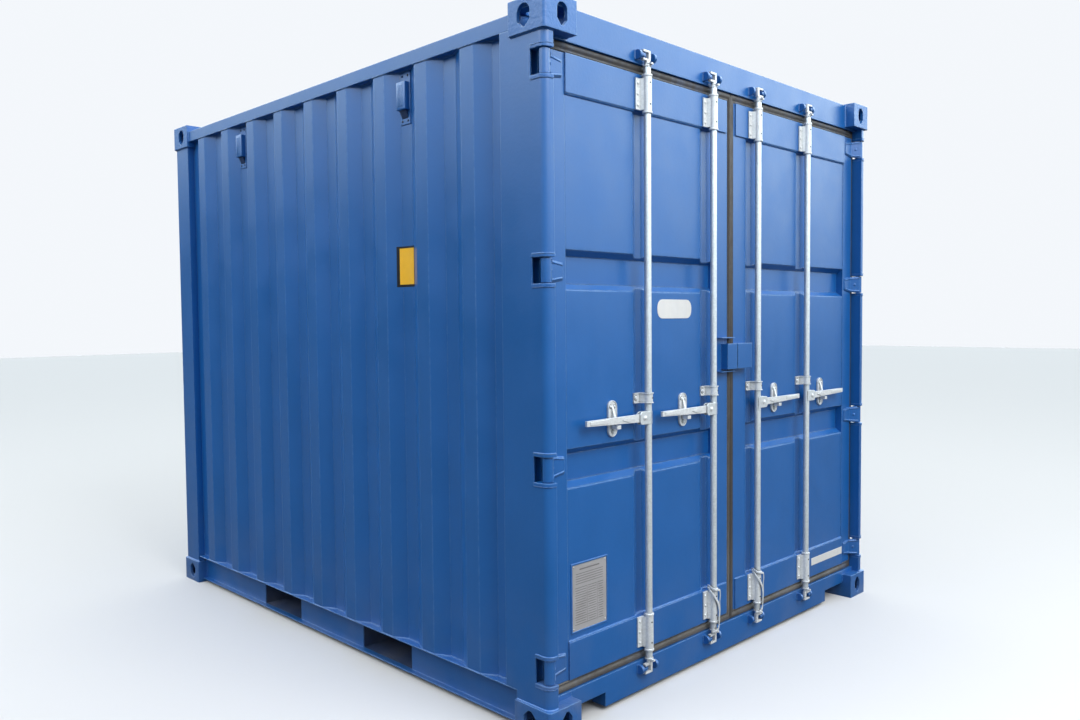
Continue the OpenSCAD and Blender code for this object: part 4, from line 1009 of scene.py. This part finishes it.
# %% Hub pins and handle grips
PIVOT_OFF, CHEEK_OFF, HUB_BEAD = 35 * MM, 10.4 * MM, 3 * MM
PIN_WASHER = turned([(11 * MM, -0.2 * MM), (11 * MM, 1.4 * MM), (10 * MM, 1.8 * MM)], 20)
GRIP_OFF, GRIP_RISE, GRIP_FACE = PIVOT_OFF + 262 * MM, 4 * MM, 4.9 * MM
GRIP_LINE = ((-52, 9.0), (52, 7.4), (52, -6.6), (-52, -8.2))


def hub_pin(y, away):
    """Washers and peened heads on both cheeks, and the bead that joins the hub to its bar."""
    made, pin_y = [], y + away * PIVOT_OFF
    for face in (1, -1):
        x = HANDLE_X + face * CHEEK_OFF
        made.append(placed(PIN_WASHER, (x, pin_y, PIVOT_Z), (face, 0, 0)))
        made.append(placed(rivet(7 * MM, 3.4 * MM), (x + face * 1.6 * MM, pin_y, PIVOT_Z), (face, 0, 0)))
    made.append(upright_weld(HANDLE_X + CHEEK_OFF, y - away * 8 * MM, PIVOT_Z - 25 * MM, PIVOT_Z + 25 * MM,
                             (-0.3, -away * 0.9), (0.2, away * 0.3), HUB_BEAD))
    return made


for i, y in enumerate(BAR_YS, 1):
    away = -1 if y < 0 else 1
    make_piece("hub_pin_heads_%d" % i, zinc, "locking_bar_%d" % i, hub_pin(y, away))
    pad = plate([(u * MM * away, v * MM) for u, v in GRIP_LINE][::away], 1.6 * MM, 1.2 * MM)
    grip = on_door(pad, HANDLE_X + GRIP_FACE, y + away * GRIP_OFF, PIVOT_Z + GRIP_RISE)
    make_piece("handle_grip_%d" % i, zinc, "handle_%d" % i, [grip])

# %% Catches
CATCH_OFF, CATCH_FACE, CATCH_Z = 186 * MM, FIELD_X + 7 * MM, PIVOT_Z + 8 * MM
CATCH_W, CATCH_H = 50 * MM, 138 * MM
CATCH_OUTLINE = rounded_rect(CATCH_W, CATCH_H, CATCH_W / 2 - 0.1 * MM, 10)
# Steps of the rim's section: how far in from the edge and how far over the plate, in mm
CATCH_RIM = ((0, -0.3), (0.3, 2.0), (1.6, 2.8), (3.2, 2.0), (3.8, -0.3))
CATCH_BOLTS = ((-11, 46), (11, 46), (0, -50))
# Thin dark discs of painted shadow and grime, of which a bolt leaves only the rim to be seen
CATCH_SHADOW_GRIME = turned([(8.4 * MM, -0.1 * MM), (8.2 * MM, 0.4 * MM)], 14)
GUIDE_SHADOW_GRIME = turned([(11.5 * MM, -0.1 * MM), (11.2 * MM, 0.4 * MM)], 16)


def catch_rim(centre):
    return loops_to_shape([[(CATCH_FACE + up * MM, centre + u, CATCH_Z + v) for u, v in inset(CATCH_OUTLINE, d * MM)]
                           for d, up in CATCH_RIM], capped=False)


for side_name, body, bar_ys in LEAVES:
    bolts, shadow_grime = [], []
    for y in bar_ys:
        centre = y + (-1 if side_name == "left" else 1) * CATCH_OFF
        bolts.append(catch_rim(centre))
        for dy, dz in CATCH_BOLTS:
            spot = (CATCH_FACE, centre + dy * MM, CATCH_Z + dz * MM)
            bolts.append(placed(hex_bolt(4.6 * MM, 4.4 * MM), spot, (1, 0, 0), turn=0.3 * dy))
            # A dark disc of painted shadow and grime under each bolt.
            shadow_grime.append(placed(CATCH_SHADOW_GRIME, spot, (1, 0, 0)))
        shadow_grime.append(placed(GUIDE_SHADOW_GRIME, (GUIDE_FACE, y - GUIDE_BOLT_OFF, GUIDE_Z), (1, 0, 0)))
    make_piece("catch_bolts_" + side_name, zinc, body, bolts)
    make_piece("bolt_grime_" + side_name, enamel_black, body, shadow_grime)

# %% [markdown]
# Hinges
#
# The blades are forgings: two curved ribs run from the knuckle to the tip and stiffen the thin middle, and
# a small boss marks the pin. Each blade is welded to the leaf all round its end.

# %% Hinge blades
# A rib's points from the pin, as X, Y towards the middle and height over the blade's middle, in mm
BLADE_LINE = ((15, -13, 34), (4, -24.5, 33), (-8, -37, 32), (-18, -46.5, 31), (-19, -62, 29), (-19, -82, 26),
              (-19, -101, 23))
RIB_SECTION = ((-4.5, -0.4), (-3.2, 1.5), (0, 2.4), (3.2, 1.5), (4.5, -0.4))
RIB_END_SHARE, BLADE_TIP, BLADE_WELD_RUN, BLADE_BEAD = 0.35, 106 * MM, 50 * MM, 4 * MM
BOSS = turned([(7 * MM, -1 * MM), (6.6 * MM, 1.2 * MM), (4 * MM, 2 * MM)], 16)


def blade_rib(z, up, sy):
    """One curved rib, thin at both ends."""
    loops, last = [], len(BLADE_LINE) - 1
    for k, (dx, dy, dz) in enumerate(BLADE_LINE):
        a, b = BLADE_LINE[max(k - 1, 0)], BLADE_LINE[min(k + 1, last)]
        along = Vector((b[0] - a[0], sy * (b[1] - a[1]), 0)).normalized()
        out = Vector((-along.y * -sy, along.x * -sy, 0))
        if out.x < 0:
            out = -out
        share = RIB_END_SHARE if k in (0, last) else 1.0
        centre = Vector((PIN_X + dx * MM, sy * (PIN_Y + dy * MM), z + up * dz * MM))
        loops.append([centre + Vector((0, 0, u * MM)) + out * (v * share * MM) for u, v in RIB_SECTION])
    return loops_to_shape(loops)


def blade_trim(z, sy):
    """The ribs, the boss and the weld of one blade."""
    made = [blade_rib(z, up, sy) for up in (-1, 1)]
    made.append(placed(BOSS, (PIN_X - 2 * MM, sy * (PIN_Y - 31 * MM), z), (0.718, -0.697 * sy, 0)))
    tip_y = sy * (PIN_Y - BLADE_TIP)
    made.append(upright_weld(LEAF_X, tip_y, z - 27 * MM, z + 27 * MM, (1, 0), (0, -sy), BLADE_BEAD))
    return made + [weld_line((LEAF_X, tip_y, z + up * 28 * MM), (LEAF_X, tip_y + sy * BLADE_WELD_RUN, z + up * 36 * MM),
                             (1, 0, 0), (0, 0, up), BLADE_BEAD) for up in (-1, 1)]


for side_name, sy in (("left", -1), ("right", 1)):
    make_piece("blade_ribs_" + side_name, cast_paint, "door_" + side_name,
               [shape for z in HINGE_ZS for shape in blade_trim(z, sy)])

# %% [markdown]
# Vents
#
# The vents are pressed hoods over a row of holes, with a sloped outlet below. Each is held by two screws
# above and two below, and four upright beads stiffen its front. The hood is a rounded outline set down four
# times at growing depth, the last two a little smaller, which rounds its front edge.

# %% Vents
VENT_XS = (round(box_of("vents")[0].x + 32 * MM, 3), round(box_of("vents")[1].x - 32 * MM, 3))
FLANGE_Z, FLANGE_T, HOOD_Z = 2.388, 4 * MM, 2.395
HOOD_W, HOOD_H, HOOD_FRONT = 58.6 * MM, 112 * MM, 28.5 * MM
HOOD_OUTLINE = rounded_rect(HOOD_W, HOOD_H, 4 * MM)
# How far a step of the hood lies in from the outline, and its distance from the wall
HOOD_STEPS = ((0, 3 * MM), (0, HOOD_FRONT - 3 * MM), (0.8 * MM, HOOD_FRONT - 0.8 * MM), (3 * MM, HOOD_FRONT))
OUTLET_W, OUTLET_Z = 40 * MM, HOOD_Z - HOOD_H / 2
# Distance from the wall and height of the wedge's three corners
OUTLET_SIDE = ((3 * MM, OUTLET_Z + 1 * MM), (20 * MM, OUTLET_Z + 1 * MM), (3 * MM, OUTLET_Z - 34 * MM))
FLANGE = plate(rounded_rect(65 * MM, 210 * MM, 3 * MM, 3), FLANGE_T, 0.8 * MM)
FRONT_BEAD = plate(rounded_rect(4 * MM, 88 * MM, 1.9 * MM, 3), 1.8 * MM, 0.8 * MM)
VENT_SCREW = rivet(5 * MM, 2.6 * MM)


def vent_cover(x, wall_y, sy):
    """The flange of a vent, its hood and the beads on its front."""
    hood = loops_to_shape([[(x + u, wall_y + sy * depth, HOOD_Z + v) for u, v in inset(HOOD_OUTLINE, d)]
                           for d, depth in HOOD_STEPS])
    return [on_side(FLANGE, x, wall_y, FLANGE_Z, sy), hood] + [
        on_side(FRONT_BEAD, x + dx * MM, wall_y + sy * (HOOD_FRONT - 0.1 * MM), HOOD_Z, sy) for dx in (-15, -5, 5, 15)]


screws, covers, outlets = [], [], []
for sy in (-1, 1):
    wall_y = sy * (SIDE_Y - POST_FACE - GROOVE_DEPTH)
    for x in VENT_XS:
        covers += vent_cover(x, wall_y, sy)
        outlets.append(loops_to_shape([[(x + side * OUTLET_W / 2, wall_y + sy * depth, z) for depth, z in OUTLET_SIDE]
                                       for side in (-1, 1)]))
        screws += [placed(VENT_SCREW, (x + dx * MM, wall_y + sy * FLANGE_T, FLANGE_Z + dz * MM), (0, sy, 0))
                   for dx in (-18, 18) for dz in (90, -91)]
make_piece("vent_screws", enamel_black, "container", screws)
make_piece("vent_covers", frame_paint, "container", covers)
# The outlet wedges take the near-black base paint as painted shade of the opening under each hood.
make_piece("vent_outlets", base_paint, "container", outlets)

# %% [markdown]
# Plates and foils
#
# Flat things carry what an owner would print or paint: a pill-shaped label and a strip on the doors, a
# yellow foil with a dark border on the long side, and a data plate of thin metal. They carry no text here.
# The foil is glued over the folds of the sheet, so its points follow the groove's line. The data plate's
# small print stands as plain rules in its rows and columns.

# %% Labels of the doors
LABEL = plate(rounded_rect(0.230, 0.077, 32 * MM), 1.6 * MM, 0.5 * MM)
STRIP = plate(rounded_rect(0.328, 0.037, 2 * MM), 1.0 * MM, 0.5 * MM)
make_piece("blank_plate_left", enamel_white, "door_left", [on_door(LABEL, FIELD_X, -0.410, 1.5265)])
make_piece("blank_strip_right", enamel_white, "door_right", [on_door(STRIP, BAND_X, 0.891, 0.2495)])

# %% Foil on the long side
# Folds of the groove under the foil, as X and depth in mm
GROOVE = ((556, 0), (624, 36), (696, 36), (764, 0))
# Name, finish, from X to X in mm, from Z to Z, thickness
FOILS = (("side_plate_border", enamel_black, 598, 708, 1.627, 1.793, 0.4 * MM),
         ("side_plate", enamel_yellow, 611, 700, 1.637, 1.785, 0.8 * MM))


def depth_in_groove(x):
    for (x0, d0), (x1, d1) in zip(GROOVE, GROOVE[1:]):
        if x <= x1:
            return d0 + (d1 - d0) * (x - x0) / (x1 - x0)


for name, finish, x0, x1, z0, z1, thickness in FOILS:
    loops = []
    for x in [x0] + [fold for fold, depth in GROOVE if x0 < fold < x1] + [x1]:
        y = -(SIDE_Y - POST_FACE - depth_in_groove(x) * MM)
        loops.append([(x * MM, y, z0), (x * MM, y, z1), (x * MM, y - thickness, z1), (x * MM, y - thickness, z0)])
    make_piece(name, finish, "container", [loops_to_shape(loops)])

# %% Data plate
RIM_W, RIM_RISE, RIM_EDGE = 14 * MM, 3.4 * MM, 2.4 * MM
RULE_STEP, RULE_H, TITLE_H = 9 * MM, 2.4 * MM, 5 * MM
# Middle and width of the three columns of small print, and the two lines between them
COLUMNS = ((-0.048, 0.062), (0.014, 0.048), (0.062, 0.030))
COLUMN_LINES = (-0.014, 0.042)
plate_low, plate_high = box_of("data_plate")
plate_mid, plate_size = (plate_low + plate_high) / 2, plate_high - plate_low


def rule(down, across, width, height, rounding=0.4 * MM):
    """A thin rule on the plate, by its distance from the plate's upper edge and from its middle line."""
    shape = plate(rounded_rect(width, height, rounding), 0.3 * MM, 0.1 * MM)
    return on_door(shape, plate_high.x, plate_mid.y + across, plate_high.z - down)


def plate_rim():
    """A painted frame round the plate: flat in front, with its outer edge bevelled."""
    outer = rounded_rect(plate_size.y + RIM_W, plate_size.z + RIM_W, 3 * MM, 2)
    hole = rounded_rect(plate_size.y, plate_size.z, 1 * MM, 2)
    steps = ((hole, 0), (hole, RIM_RISE), (inset(outer, 1 * MM), RIM_RISE), (outer, RIM_EDGE), (outer, 0))
    return loops_to_shape([[(FIELD_X + d, plate_mid.y + u, plate_mid.z + v) for u, v in loop] for loop, d in steps],
                          capped=False)


rules = [rule(20 * MM, 0, 0.110, TITLE_H, 0.5 * MM)]
rules += [rule(36 * MM + row * RULE_STEP, 0, 0.150, RULE_H) for row in range(5)]
rules += [rule(88 * MM + row * RULE_STEP, across, width - 4 * MM * (row % 3), RULE_H)
          for row in range(16) for across, width in COLUMNS]
rules += [rule(156 * MM, across, 1.6 * MM, 0.142) for across in COLUMN_LINES]
rivets = [placed(rivet(4 * MM, 2 * MM), (plate_high.x, plate_mid.y + dy, plate_mid.z + dz), (1, 0, 0))
          for dy in (-87 * MM, 87 * MM) for dz in (-115 * MM, 115 * MM)]
make_piece("data_plate_rim", frame_paint, "door_left", [plate_rim()])
make_piece("data_plate_rules", print_grey, "door_left", rules)
make_piece("data_plate_rivets", aluminium, "door_left", rivets)

# %% [markdown]
# Floor
#
# The plywood panels lie on the cross members and are held by rows of countersunk screws. A steel strip
# covers the joint along the middle. The screws stand over the members, so their rows follow the pitch of
# the drawing's members.

# %% Floor strip and screws
STRIP_W, STRIP_T, STRIP_SHORTER = 60 * MM, 2.5 * MM, 20 * MM
MEMBER_XS = [s * x for x in (0.110, 0.760, 1.010, 1.260) for s in (-1, 1)]
ROW_SCREWS, ROW_IN, CLEAR_OF_STRIP = 12, 60 * MM, 40 * MM
SCREW_HEAD = turned([(7 * MM, -0.2 * MM), (7 * MM, 0.3 * MM), (5.4 * MM, 0.9 * MM)], 12)

floor_low, floor_high = box_of("floor")
strip = plate(rounded_rect(floor_high.x - floor_low.x - STRIP_SHORTER, STRIP_W, 1 * MM, 1), STRIP_T, 1.2 * MM)
row_run = floor_high.y - floor_low.y - 2 * ROW_IN
row = [floor_low.y + ROW_IN + row_run * k / (ROW_SCREWS - 1) for k in range(ROW_SCREWS)]
make_piece("floor_joint_strip", zinc, "container", [placed(strip, ((floor_low.x + floor_high.x) / 2, 0, floor_high.z))])
make_piece("floor_screws", zinc, "container",
           [placed(SCREW_HEAD, (x, y, floor_high.z)) for x in MEMBER_XS for y in row if abs(y) > CLEAR_OF_STRIP])
